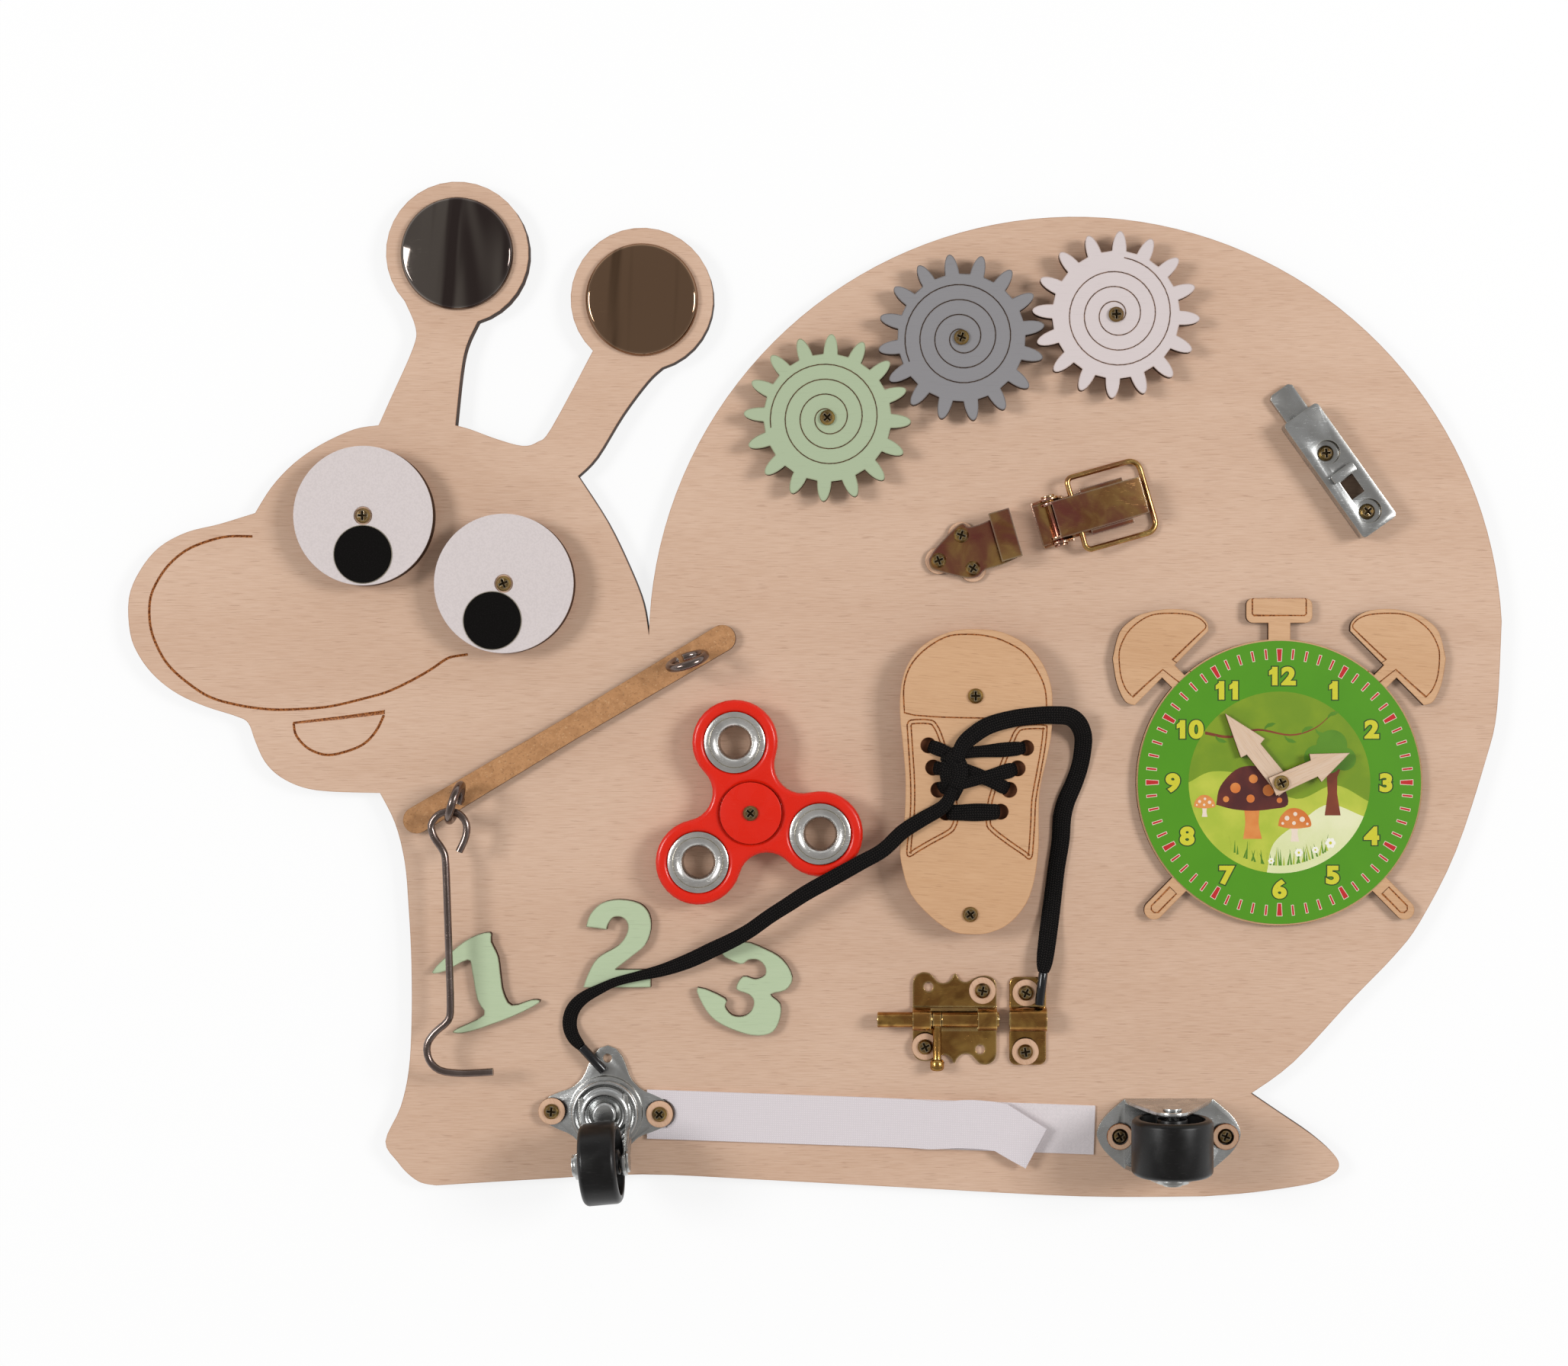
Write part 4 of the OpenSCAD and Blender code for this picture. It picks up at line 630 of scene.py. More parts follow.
@dataclass(frozen=True)
class MirrorFace(Finish):
    """Silvered acrylic whose colour is a painted reflection of a dim room: soft upright bands, brown on one mirror and
    grey on the other, with a painted highlight along the rims.
    """

    # band, brown and fold are colours of the painted reflection of a dim room
    band: Colour = paint(118, 110, 104)
    brown: Colour = paint(142, 113, 90)
    fold: Colour = paint(100, 78, 60)
    between: Place = (-0.108, -0.092)

    def wire(self, wiring: MaterialWiring) -> None:
        """Paint the reflected bands into the silver, paint a highlight along the rims, and let the sheet ripple.

        Args:
            wiring: the material's nodes.
        """
        wiring.shade(Metallic=1.0)
        reflected_bands = wiring.cloud((70, 7, 30), 2.0, 0.6, 0.05)
        across = wiring.add("ShaderNodeSeparateXYZ", {0: wiring.here()}).outputs[0]
        grey = wiring.blend(wiring.band(reflected_bands, 0.42, 0.56), self.colour, self.band)
        warm = wiring.blend(wiring.band(reflected_bands, 0.3, 0.44, 1.0, 0.0), self.brown, self.fold)
        painted_reflection = wiring.blend(wiring.band(across, *self.between), grey, warm)
        marks = EFFECTS.place(wiring, Effect.HANDLING, Rub=0.0004)
        # painted highlight: the rims are painted lighter
        bright = wiring.blend(wiring.times(marks["Rubbed"], 0.5), painted_reflection, paint(206, 208, 210))
        rough = wiring.sum("ADD", wiring.times(marks["Scuff"], 0.08), self.roughness)
        wiring.shade(Base_Color=bright, Roughness=rough)
        ripple = wiring.cloud((18, 18, 18), 1.0)
        wiring.raise_grain(ripple, 0.0004, 0.02)


BIRCH = Plywood("bare birch ply", paint(212, 181, 158), 0.52, deep=paint(188, 151, 125))
WASHER_BIRCH = Plywood("washer ply", paint(212, 176, 148), 0.5, deep=paint(192, 150, 120), turn=1.2)
FIGURE_BIRCH = Plywood("warm birch ply", paint(208, 168, 131), 0.5, deep=paint(188, 144, 106), turn=math.radians(4))
MINT = Stained(
    "mint stained ply", paint(182, 197, 164), deep=paint(166, 184, 148), line=paint(62, 42, 30),
    halo=paint(104, 80, 56), singe=paint(96, 74, 48), grain=0.5, scorch=1.0,
)
# dark ply for the discs that stand as painted shade low in the eyelets
EYELET_SHADE = Plywood("painted eyelet shade", paint(124, 76, 50), 0.6, deep=paint(100, 60, 38))
GREEN = Stained(
    "green stained ply", paint(168, 181, 151), deep=paint(162, 180, 145), line=paint(78, 58, 42),
    halo=paint(110, 92, 66), singe=paint(104, 86, 56),
)
GREY = Stained(
    "grey stained ply", paint(137, 135, 137), deep=paint(128, 126, 129), line=paint(60, 46, 38),
    halo=paint(84, 70, 60), singe=paint(70, 56, 46),
)
WHITE = Stained(
    "white stained ply", paint(208, 197, 196), deep=paint(200, 188, 187), line=paint(90, 68, 56),
    halo=paint(140, 114, 100), singe=paint(150, 120, 100), grain=0.25,
)
HARDBOARD = Hardboard("raw hardboard", paint(184, 134, 88), 0.72)
LEATHERETTE = Leatherette("white leatherette", paint(208, 198, 197), 0.6)
FLOCK = Flocked("black flock", paint(11, 9, 8), 0.95)
# its dark colour is the painted reflection of a dim room
MIRROR = MirrorFace("mirror face", paint(74, 64, 62), 0.05)
YELLOW_ZINC = Plated("yellow zinc", paint(190, 150, 92), 0.16, paint(138, 84, 56), paint(144, 78, 74), 0.8, 0.001)
ZINC_WIRE = Plated("dull zinc wire", paint(132, 118, 112), 0.18, paint(82, 68, 62), paint(98, 84, 80), 0.5)
GOLD_WIRE = Plated("yellow zinc wire", paint(196, 162, 98), 0.16, paint(132, 92, 52), paint(156, 96, 78), 0.6)
SCREW = Plated("yellow zinc screw", paint(160, 132, 74), 0.26, paint(84, 62, 34), paint(122, 96, 62), 0.8, 0.0004)
# painted shade for the cross recesses of the screw heads
RECESS_SHADE = Plated("painted recess shade", paint(54, 42, 24), 0.4, paint(30, 22, 12), paint(44, 34, 22), 0.6, 0.0001)
BLUE_ZINC = Plated("bright zinc", paint(196, 198, 198), 0.24, paint(140, 138, 134), paint(172, 172, 170), 0.6, peel=0.8)
STEEL = Plated("polished steel", paint(230, 228, 224), 0.2, paint(160, 158, 156), paint(184, 182, 178), 0.4, peel=0.9)
BRASS = Plated(
    "brass plate", paint(192, 150, 82), 0.16, paint(104, 66, 32), paint(146, 100, 54), 0.8, 0.0011, peel=1.0,
    rim=paint(246, 226, 164),
)
RED = Moulded("red plastic", paint(216, 29, 3), 0.24, worn=paint(240, 120, 96), wear=0.05, coat=0.12)
BLACK = Moulded("black plastic", paint(7, 6, 6), 0.3, worn=paint(70, 68, 68), wear=0.18)
CLEAR = Moulded("clear tube", paint(14, 14, 17), 0.14, worn=paint(150, 154, 164), wear=0.06, coat=0.3)
LACE = Braid("black braid", paint(6, 5, 5), 0.8)
PILE_TAPE = Tape("pile tape", paint(222, 213, 215), 0.7, nap=0.9)
WOVEN_TAPE = Tape("woven tape", paint(224, 215, 219), 0.6, rows=1250.0, nap=0.12)
CARD = Finish("card edge", paint(120, 112, 96), 0.6)


# ---- Workbench ----

SHARP = 32.0  # an edge that bends more, in degrees, is shaded sharp


def rest_of(node: str) -> tuple[str, str]:
    """Give the body and the material slot that a node of the frame has.

    Args:
        node: the node's name.

    Returns:
        The body's name and the slot's.
    """
    bodies = frame["record"]["behaviour"]["bodies"]
    body = next(name for name, nodes in bodies.items() if node in nodes)
    slot = next(part["material_slot"] for part in frame["record"]["subparts"] if part["node"] == node)
    return body, slot


def new_object(name: str, data: bpy.types.ID) -> Piece:
    """Put a mesh, a curve, a camera or a lamp into the scene as an object at the origin.

    Args:
        name: the object's name.
        data: the mesh or the like.

    Returns:
        The object.
    """
    piece = bpy.data.objects.new(name, data)
    bpy.context.scene.collection.objects.link(piece)
    return piece


def from_shape(name: str, shape: Shape, outward: bool = True) -> Piece:
    """Turn a shape into a new piece and free it.

    Args:
        name: the new piece's name.
        shape: the shape.
        outward: whether its faces are turned to look outwards first.

    Returns:
        The piece.
    """
    if outward:
        bmesh.ops.recalc_face_normals(shape, faces=shape.faces)
    mesh = bpy.data.meshes.new(name)
    shape.to_mesh(mesh)
    shape.free()
    return new_object(name, mesh)


def settle(piece: Piece) -> None:
    """Turn a piece's modifiers into its mesh.

    Args:
        piece: the piece.
    """
    bpy.context.view_layer.update()
    result = piece.evaluated_get(bpy.context.evaluated_depsgraph_get())
    mesh = bpy.data.meshes.new_from_object(result)
    piece.modifiers.clear()
    old, piece.data = piece.data, mesh
    bpy.data.meshes.remove(old)


def round_shading(mesh: bpy.types.Mesh, angle: float = SHARP) -> None:
    """Shade a mesh smooth across edges that bend less than an angle in degrees."""
    mesh.shade_smooth()
    mesh.set_sharp_from_angle(angle=math.radians(angle))


def finish_piece(
    piece: Piece,
    finish: Finish | Sequence[Finish],
    body: str = "board",
    stands_for: Sequence[str] = (),
    angle: float = SHARP,
) -> Piece:
    """Dress a piece, hand it to its body and report it.

    Args:
        piece: the object, in place.
        finish: its finish, or one for each of its material slots.
        body: the body that carries it.
        stands_for: the frame's nodes that it replaces.
        angle: what bends more, in degrees, stays sharp.

    Returns:
        The piece.
    """
    piece.data.materials.clear()
    for each in [finish] if isinstance(finish, Finish) else finish:
        piece.data.materials.append(each.material())
    round_shading(piece.data, angle)
    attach(piece, body)
    if stands_for:
        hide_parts(*stands_for)
    LOG.info("%s on %s, %d faces", piece.name, body, len(piece.data.polygons))
    return piece


def copy_of(node: str, name: str) -> Piece:
    """Copy a node of the frame into a new piece with its flat faces whole.

    Args:
        node: the node's name.
        name: the new piece's name.

    Returns:
        The piece, without a finish.
    """
    source = next(o for o in bpy.data.objects if o.name == node)
    mesh = source.data.copy()
    mesh.materials.clear()
    shape = bmesh.new()
    shape.from_mesh(mesh)
    bmesh.ops.remove_doubles(shape, verts=shape.verts, dist=2e-7)
    bmesh.ops.dissolve_limit(shape, angle_limit=math.radians(0.4), verts=shape.verts, edges=shape.edges)
    piece = from_shape(name, shape)
    bpy.data.meshes.remove(mesh)
    for old in ("custom_normal", "sharp_edge", "sharp_face"):
        if old in piece.data.attributes:
            piece.data.attributes.remove(piece.data.attributes[old])
    return piece


def soften(piece: Piece, width: float, steps: int = 2, angle: float = 40.0) -> None:
    """Round a piece's sharp edges.

    Args:
        piece: the piece.
        width: how far the rounding reaches, in mm.
        steps: how many faces make the rounding.
        angle: the least bend of an edge that is rounded, in degrees.
    """
    bevel = piece.modifiers.new("soft edges", "BEVEL")
    bevel.width = width * MM
    bevel.segments = steps
    bevel.limit_method = "ANGLE"
    bevel.angle_limit = math.radians(angle)
    bevel.use_clamp_overlap = True
    bevel.miter_outer = "MITER_ARC"
    settle(piece)


def dress(
    node: str, name: str, finish: Finish, soft: float = 0.0, steps: int = 2, angle: float = SHARP
) -> Piece:
    """Copy a node, soften its edges, dress it and let it stand for the node.

    Args:
        node: the node's name.
        name: the new piece's name.
        finish: its finish.
        soft: the softening's reach, in mm.
        steps: its faces.
        angle: what bends more, in degrees, stays sharp.

    Returns:
        The piece.
    """
    piece = copy_of(node, name)
    if soft:
        soften(piece, soft, steps)
    body, slot = rest_of(node)
    return finish_piece(piece, finish, body, [node], angle)


def loose_parts(shape: Shape) -> list[set[bmesh.types.BMVert]]:
    """Sort the corners of a shape into the sets that hang together.

    Args:
        shape: the shape.

    Returns:
        The sets.
    """
    waiting, parts = set(shape.verts), []
    while waiting:
        part, edge = set(), [waiting.pop()]
        while edge:
            corner = edge.pop()
            part.add(corner)
            near = {link.other_vert(corner) for link in corner.link_edges} & waiting
            waiting -= near
            edge.extend(near)
        parts.append(part)
    return parts


def clear_inside(piece: Piece) -> None:
    """Take out the upright walls that run through the inside of a piece.

    Args:
        piece: the piece.
    """
    shape = bmesh.new()
    shape.from_mesh(piece.data)
    crowded = {corner for edge in shape.edges if len(edge.link_faces) > 2 for corner in edge.verts}
    inner = [face for face in shape.faces if abs(face.normal.z) < 0.5 and crowded.issuperset(face.verts)]
    bmesh.ops.delete(shape, geom=inner, context="FACES")
    bmesh.ops.recalc_face_normals(shape, faces=shape.faces)
    shape.to_mesh(piece.data)
    shape.free()


def cut(piece: Piece, cutter: Piece) -> None:
    """Take a cutter's volume out of a piece and delete the cutter.

    Args:
        piece: what is cut.
        cutter: a closed shape.
    """
    step = piece.modifiers.new("cut", "BOOLEAN")
    step.operation = "DIFFERENCE"
    step.solver = "EXACT"
    step.use_self = True
    step.object = cutter
    settle(piece)
    bpy.data.objects.remove(cutter)


def spline(points: Sequence[Sequence[float]], steps: int = 6) -> list[Vector]:
    """Draw a smooth open curve through points.

    Args:
        points: two or more points, with two or three numbers each.
        steps: how many pieces each stretch gets.

    Returns:
        The points of the curve.
    """
    knots = [Vector(p) for p in points]
    ends = [2 * knots[0] - knots[1], *knots, 2 * knots[-1] - knots[-2]]
    out = []
    for i in range(len(knots) - 1):
        a, b, c, d = ends[i : i + 4]
        bend, twist = 2 * a - 5 * b + 4 * c - d, 3 * b - a - 3 * c + d
        for j in range(steps):
            t = j / steps
            out.append(0.5 * ((2 * b) + (c - a) * t + bend * t * t + twist * t ** 3))
    return [*out, knots[-1]]


def evenly(points: Sequence[Vector], step: float) -> list[Vector]:
    """Place points at even steps along a line of points.

    Args:
        points: the line.
        step: about how far apart the new points are.

    Returns:
        The new points, with both ends.
    """
    lengths = [0.0]
    for a, b in zip(points, points[1:]):
        lengths.append(lengths[-1] + (b - a).length)
    count = max(2, round(lengths[-1] / step))
    out, i = [], 0
    for k in range(count + 1):
        goal = lengths[-1] * k / count
        while i < len(points) - 2 and lengths[i + 1] < goal:
            i += 1
        span = lengths[i + 1] - lengths[i]
        out.append(points[i].lerp(points[i + 1], (goal - lengths[i]) / span if span else 0.0))
    return out


def arc(centre: Place, radius: float, start: float, end: float, count: int) -> list[Place]:
    """Give the points of a circular arc between two angles in degrees."""
    turns = [math.radians(start + (end - start) * i / count) for i in range(count + 1)]
    return [(centre[0] + radius * math.cos(t), centre[1] + radius * math.sin(t)) for t in turns]


def circle(centre: Place, radius: float, count: int) -> list[Place]:
    """Give points all round a circle."""
    return arc(centre, radius, 0, 360, count)[:-1]


def at(centre: Place, radius: float, angle: float) -> Place:
    """Give the point at a radius and an angle in degrees round a centre."""
    return (centre[0] + radius * math.cos(math.radians(angle)), centre[1] + radius * math.sin(math.radians(angle)))


def placed(points: Sequence[Sequence[float]], spot: Place, size: float = 1.0, angle: float = 0.0) -> list[Place]:
    """Scale and turn points about the origin, then move them.

    Args:
        points: the points.
        spot: where the origin goes.
        size: the scale.
        angle: the turn in degrees.

    Returns:
        The placed points.
    """
    c, s = math.cos(math.radians(angle)), math.sin(math.radians(angle))
    return [(spot[0] + x * size * c - y * size * s, spot[1] + x * size * s + y * size * c) for x, y in points]


def oval(half: float, high: float, square: float) -> list[Place]:
    """Outline a braid's section.

    Args:
        half: half its width.
        high: half its thickness.
        square: how round its sides are: 1 is an ellipse, less is flatter.

    Returns:
        The outline.
    """
    turns = [2 * math.pi * k / BRAID_SIDES for k in range(BRAID_SIDES)]
    return [(half * math.copysign(abs(math.cos(t)) ** square, math.cos(t)), high * math.sin(t)) for t in turns]


def groove_cutter(
    path: Line, top: float, width: float = 1.1, depth: float = 0.5, closed: bool = False
) -> Piece:
    """Build the wedge that cuts an engraved line.

    Args:
        path: the line's points, in mm.
        top: the height of the face that it is cut in, in mm.
        width: the line's width at the face, in mm.
        depth: its depth, in mm.
        closed: whether the line returns to its start.

    Returns:
        The cutter.
    """
    rise = 0.4
    points = [Vector(p) for p in path]
    if closed and (points[0] - points[-1]).length < 1e-6:
        points.pop()
    count = len(points)
    reach = width / 2 * (1 + rise / depth)
    shape = bmesh.new()
    rings = []
    for i, here in enumerate(points):
        before = points[i - 1] if i or closed else here
        after = points[(i + 1) % count] if i < count - 1 or closed else here
        along = (after - before).normalized()
        across = Vector((-along.y, along.x))
        if before is not here and after is not here:
            bend = (here - before).normalized().dot(along)
            across = across / max(bend, 0.6)
        corners = [(here - across * reach, top + rise), (here + across * reach, top + rise), (here, top - depth)]
        rings.append([shape.verts.new((c.x * MM, c.y * MM, z * MM)) for c, z in corners])
    for i in range(count if closed else count - 1):
        a, b = rings[i], rings[(i + 1) % count]
        for j in range(3):
            shape.faces.new((a[j], a[(j + 1) % 3], b[(j + 1) % 3], b[j]))
    if not closed:
        shape.faces.new(rings[0][::-1])
        shape.faces.new(rings[-1])
    return from_shape("cutter", shape)


def plate(name: str, outline: Line, low: float, high: float) -> Piece:
    """Build a flat plate from an outline and its two heights, all in mm.

    Args:
        name: the new piece's name.
        outline: its outline.
        low: the height of its underside.
        high: the height of its top.

    Returns:
        The plate.
    """
    shape = bmesh.new()
    face = shape.faces.new([shape.verts.new((x * MM, y * MM, low * MM)) for x, y in outline])
    if face.calc_area() and face.normal.z > 0:
        face.normal_flip()
    raised = bmesh.ops.extrude_face_region(shape, geom=[face])["geom"]
    corners = [v for v in raised if isinstance(v, bmesh.types.BMVert)]
    bmesh.ops.translate(shape, vec=(0, 0, (high - low) * MM), verts=corners)
    return from_shape(name, shape)


def lathe(name: str, profile: Line, centre: Spot, axis: Spot = (0, 0, 1), steps: int = 64) -> Piece:
    """Turn a closed profile round an axis.

    Args:
        name: the new piece's name.
        profile: points as (radius, height along the axis), in mm.
        centre: where the axis starts, in mm.
        axis: its direction.
        steps: how many faces go round.

    Returns:
        The turned piece.
    """
    shape = bmesh.new()
    rings = []
    for k in range(steps):
        turn = 2 * math.pi * k / steps
        rings.append([shape.verts.new((r * MM * math.cos(turn), r * MM * math.sin(turn), z * MM)) for r, z in profile])
    for k in range(steps):
        a, b = rings[k], rings[(k + 1) % steps]
        for j in range(len(profile)):
            n = (j + 1) % len(profile)
            shape.faces.new((a[j], b[j], b[n], a[n]))
    bmesh.ops.remove_doubles(shape, verts=shape.verts, dist=1e-8)
    bmesh.ops.recalc_face_normals(shape, faces=shape.faces)
    turned = Vector((0, 0, 1)).rotation_difference(Vector(axis)).to_matrix().to_4x4()
    shape.transform(Matrix.Translation(Vector(centre) * MM) @ turned)
    return from_shape(name, shape, outward=False)


def strip(
    name: str,
    line: Sequence[Vector],
    section: Callable[[int, float], list[Place]],
    up: Callable[[int], Vector],
    ends: bool = True,
) -> Piece:
    """Sweep a closed section along a line and give it a map, along and across the strip, in metres.

    Args:
        name: the new piece's name.
        line: the line's points, in mm.
        section: gives the section at a point, as (across, up) in mm, from its number and its share of the line.
        up: gives the direction that the strip's upper side faces at a point.
        ends: whether the two ends are closed.

    Returns:
        The strip.
    """
    shape = bmesh.new()
    uv = shape.loops.layers.uv.new("Strip")
    rings, runs, places, run = [], [], [], 0.0
    count = len(line)
    for i, here in enumerate(line):
        along = (line[min(i + 1, count - 1)] - line[max(i - 1, 0)]).normalized()
        side = up(i).cross(along).normalized()
        top = along.cross(side).normalized()
        run += (here - line[i - 1]).length if i else 0.0
        outline = section(i, i / (count - 1))
        rings.append([shape.verts.new((here + side * s + top * t) * MM) for s, t in outline])
        runs.append(run)
        widths = [0.0]
        for p, q in zip(outline, outline[1:] + outline[:1]):
            widths.append(widths[-1] + math.dist(p, q))
        places.append(widths)
    sides = len(rings[0])
    for i in range(count - 1):
        for j in range(sides):
            k = (j + 1) % sides
            face = shape.faces.new((rings[i][j], rings[i][k], rings[i + 1][k], rings[i + 1][j]))
            corners = [(i, j), (i, j + 1), (i + 1, j + 1), (i + 1, j)]
            for loop, (m, n) in zip(face.loops, corners):
                loop[uv].uv = (runs[m] * MM, places[m][n] * MM)
    if ends:
        shape.faces.new(rings[0][::-1])
        shape.faces.new(rings[-1])
    return from_shape(name, shape)


def join(name: str, pieces: Sequence[Piece]) -> Piece:
    """Join several objects into one piece of a single finish.

    Args:
        name: the piece's name.
        pieces: what is joined.

    Returns:
        The piece.
    """
    piece = merge(name, pieces)
    for face in piece.data.polygons:
        face.material_index = 0
    return piece


def merge(name: str, pieces: Sequence[Piece]) -> Piece:
    """Join several objects without materials, each keeping its place in the list as its material number.

    Args:
        name: the piece's name.
        pieces: what is joined.

    Returns:
        The piece.
    """
    shape = bmesh.new()
    for number, piece in enumerate(pieces):
        before = len(shape.faces)
        shape.from_mesh(piece.data)
        shape.faces.ensure_lookup_table()
        for face in shape.faces[before:]:
            face.material_index = number
        bpy.data.objects.remove(piece)
    return from_shape(name, shape, outward=False)


def inset(outline: Line, gap: float) -> list[Place]:
    """Draw a closed outline that runs a gap inside another one, in mm.

    Args:
        outline: the outer outline.
        gap: the gap.

    Returns:
        The inner outline.
    """
    points = [Vector(p) for p in outline]
    area = sum(a.x * b.y - b.x * a.y for a, b in zip(points, points[1:] + points[:1]))
    side = 1.0 if area > 0 else -1.0
    out = []
    for before, here, after in zip(points[-1:] + points[:-1], points, points[1:] + points[:1]):
        first, second = (here - before).normalized(), (after - here).normalized()
        along = (first + second).normalized()
        reach = gap / max(0.5, first.dot(along))
        out.append(tuple(here + Vector((-along.y, along.x)) * side * reach))
    return out


def engrave(
    piece: Piece, lines: Sequence[Line], top: float, width: float, closed: bool = False
) -> None:
    """Cut engraved lines into a piece's upper face, one after another."""
    for line in lines:
        cut(piece, groove_cutter(line, top, width, width * 0.5, closed))


# ---- Board and figures ----


@dataclass
class SnailBoard:
    """The plywood board with the snail's engraved mouth, the wooden figures, the stick and the mirrors."""

    line_width: float = 0.9
    mouth: Line = (
        (-205, 55.5), (-213.5, 55.5), (-220.5, 54), (-229, 50.5), (-236, 44.5), (-241, 36.5), (-242.5, 30),
        (-242, 22), (-239.5, 15), (-235.5, 8.5), (-229, 2.5), (-220.5, -3), (-210, -6), (-199, -7.5),
        (-189.5, -7.5), (-177, -6.5), (-164, -3.5), (-155.5, -1), (-147, 3), (-140, 7), (-134, 11), (-130, 12),
        (-126.5, 12.5),
    )
    tongue: Line = (
        (-190, -12.5), (-189, -17), (-185, -21.5), (-179, -24), (-173, -23.5), (-165, -20.5), (-160, -15.5),
        (-156.5, -8.5),
    )
    mirror_edge: float = 0.4

    def build(self) -> None:
        """Make the board and what is glued to it."""
        self.panel()
        for number in ("one", "two", "three"):
            dress(f"number_{number}", f"figure_{number}", MINT)
        dress("stick_bar", "stick", HARDBOARD)
        dress("mirrors", "antenna_mirrors", MIRROR, self.mirror_edge, 1)

    def panel(self) -> None:
        """Cut the snail's mouth and tongue into the board."""
        board = copy_of("board_panel", "snail_panel")
        tongue = [*spline(self.tongue, 6), Vector(self.tongue[0])]
        engrave(board, [spline(self.mouth, 6)], FACE, self.line_width)
        engrave(board, [tongue[:-1]], FACE, self.line_width, closed=True)
        finish_piece(board, BIRCH, "board", ["board_panel"])


# ---- Gears and eyes ----


@dataclass
class GearTrain:
    """Three meshing ply gears, each with an engraved spiral."""

    pitch: float = 5.4
    outer: float = 20.8
    inner: float = 2.6
    line_width: float = 0.42
    gears: Sequence[tuple[str, Place, float, Finish]] = (
        ("gear_green", (4.8, 98.0), 190.0, GREEN),
        ("gear_grey", (53.281, 127.015), 205.0, GREY),
        ("gear_white", (109.175, 135.27), 82.0, WHITE),
    )

    def spiral(self, centre: Place, start: float) -> list[Place]:
        """Wind a line inwards, clockwise, from an angle on the outer radius.

        Args:
            centre: the gear's centre.
            start: the angle in degrees.

        Returns:
            The line's points.
        """
        turns = (self.outer - self.inner) / self.pitch
        count = round(turns * 40)
        out = []
        for i in range(count + 1):
            out.append(at(centre, self.outer - self.pitch * turns * i / count, start - 360 * turns * i / count))
        return out

    def build(self) -> None:
        """Engrave and dress the gears."""
        for node, centre, start, finish in self.gears:
            gear = copy_of(node, node.replace("gear_", "") + "_gear")
            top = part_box(node)[1].z / MM
            engrave(gear, [self.spiral(centre, start)], top, self.line_width)
            body, slot = rest_of(node)
            finish_piece(gear, finish, body, [node])


@dataclass
class Eyes:
    """Two turning discs faced with leatherette, each with a black pupil."""

    pupil_offset: float = 14.0
    pupil_radius: float = 10.4
    rim: Line = ((-0.1, 0.02), (0.22, 0.02), (0.2, 0.2), (-0.1, 0.26))
    eyes: Sequence[tuple[str, Place, float]] = (("left", (-162.8, 62.5), -90.0), ("right", (-112.0, 38.0), -107.0))

    def build(self) -> None:
        """Dress the discs, their facings and the pupils, and lay a pale rim round each pupil."""
        for side, centre, look in self.eyes:
            dress(f"eye_{side}_disc", f"{side}_eye_disc", BIRCH)
            dress(f"eye_{side}_facing", f"{side}_eye_facing", LEATHERETTE, 0.15, 1)
            dress(f"eye_{side}_pupil", f"{side}_eye_pupil", FLOCK, 0.1, 1)
            place = at(centre, self.pupil_offset, look)
            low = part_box(f"eye_{side}_pupil")[0].z / MM
            profile = [(self.pupil_radius + out, low + up) for out, up in self.rim]
            rim = lathe(f"{side}_pupil_rim", profile, (*place, 0.0))
            finish_piece(rim, CARD, f"{side}_eye")


# ---- Spinner ----


@dataclass
class FidgetSpinner:
    """Three-lobed red spinner with steel weights and a capped bearing."""

    edge: float = 2.0
    centre: Place = (-22.7, -44.8)
    offset: float = 26.1
    turns: Sequence[float] = (-17.0, 103.0, 223.0)
    weight_rim: Line = (
        (5.4, -3.2), (5.45, -2.6), (5.8, -1.7), (6.3, -1.05), (7.0, -0.5), (7.8, -0.15), (8.6, 0.0), (8.9, 0.0),
        (9.05, -0.3), (9.25, 0.0), (10.7, 0.0), (11.0, -0.2),
    )

    def build(self) -> None:
        """Round the mouldings and polish the steel."""
        dress("spinner_body", "spinner_frame", RED, self.edge, 4, 50)
        dress("spinner_caps", "spinner_buttons", RED, 0.5, 3, 50)
        self.weights()
        dress("bearing_outer", "bearing_balls_and_race", STEEL, 0.0, 2, 50)
        dress("bearing_inner_race", "bearing_core", STEEL, 0.2, 2, 50)

    def weights(self) -> None:
        """Turn the three ring weights, with a flared hole and a fine groove inside a flat rim."""
        low, high = (corner.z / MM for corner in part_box("spinner_weights"))
        rings = []
        for turn in self.turns:
            upper = [(r, high + drop) for r, drop in self.weight_rim]
            lower = [(r, low - drop) for r, drop in self.weight_rim[::-1]]
            rings.append(lathe("weight", upper + lower, (*at(self.centre, self.offset, turn), 0.0), steps=72))
        body, slot = rest_of("spinner_weights")
        finish_piece(join("steel_weights", rings), STEEL, body, ["spinner_weights"], 50)


# ---- Metal hardware ----


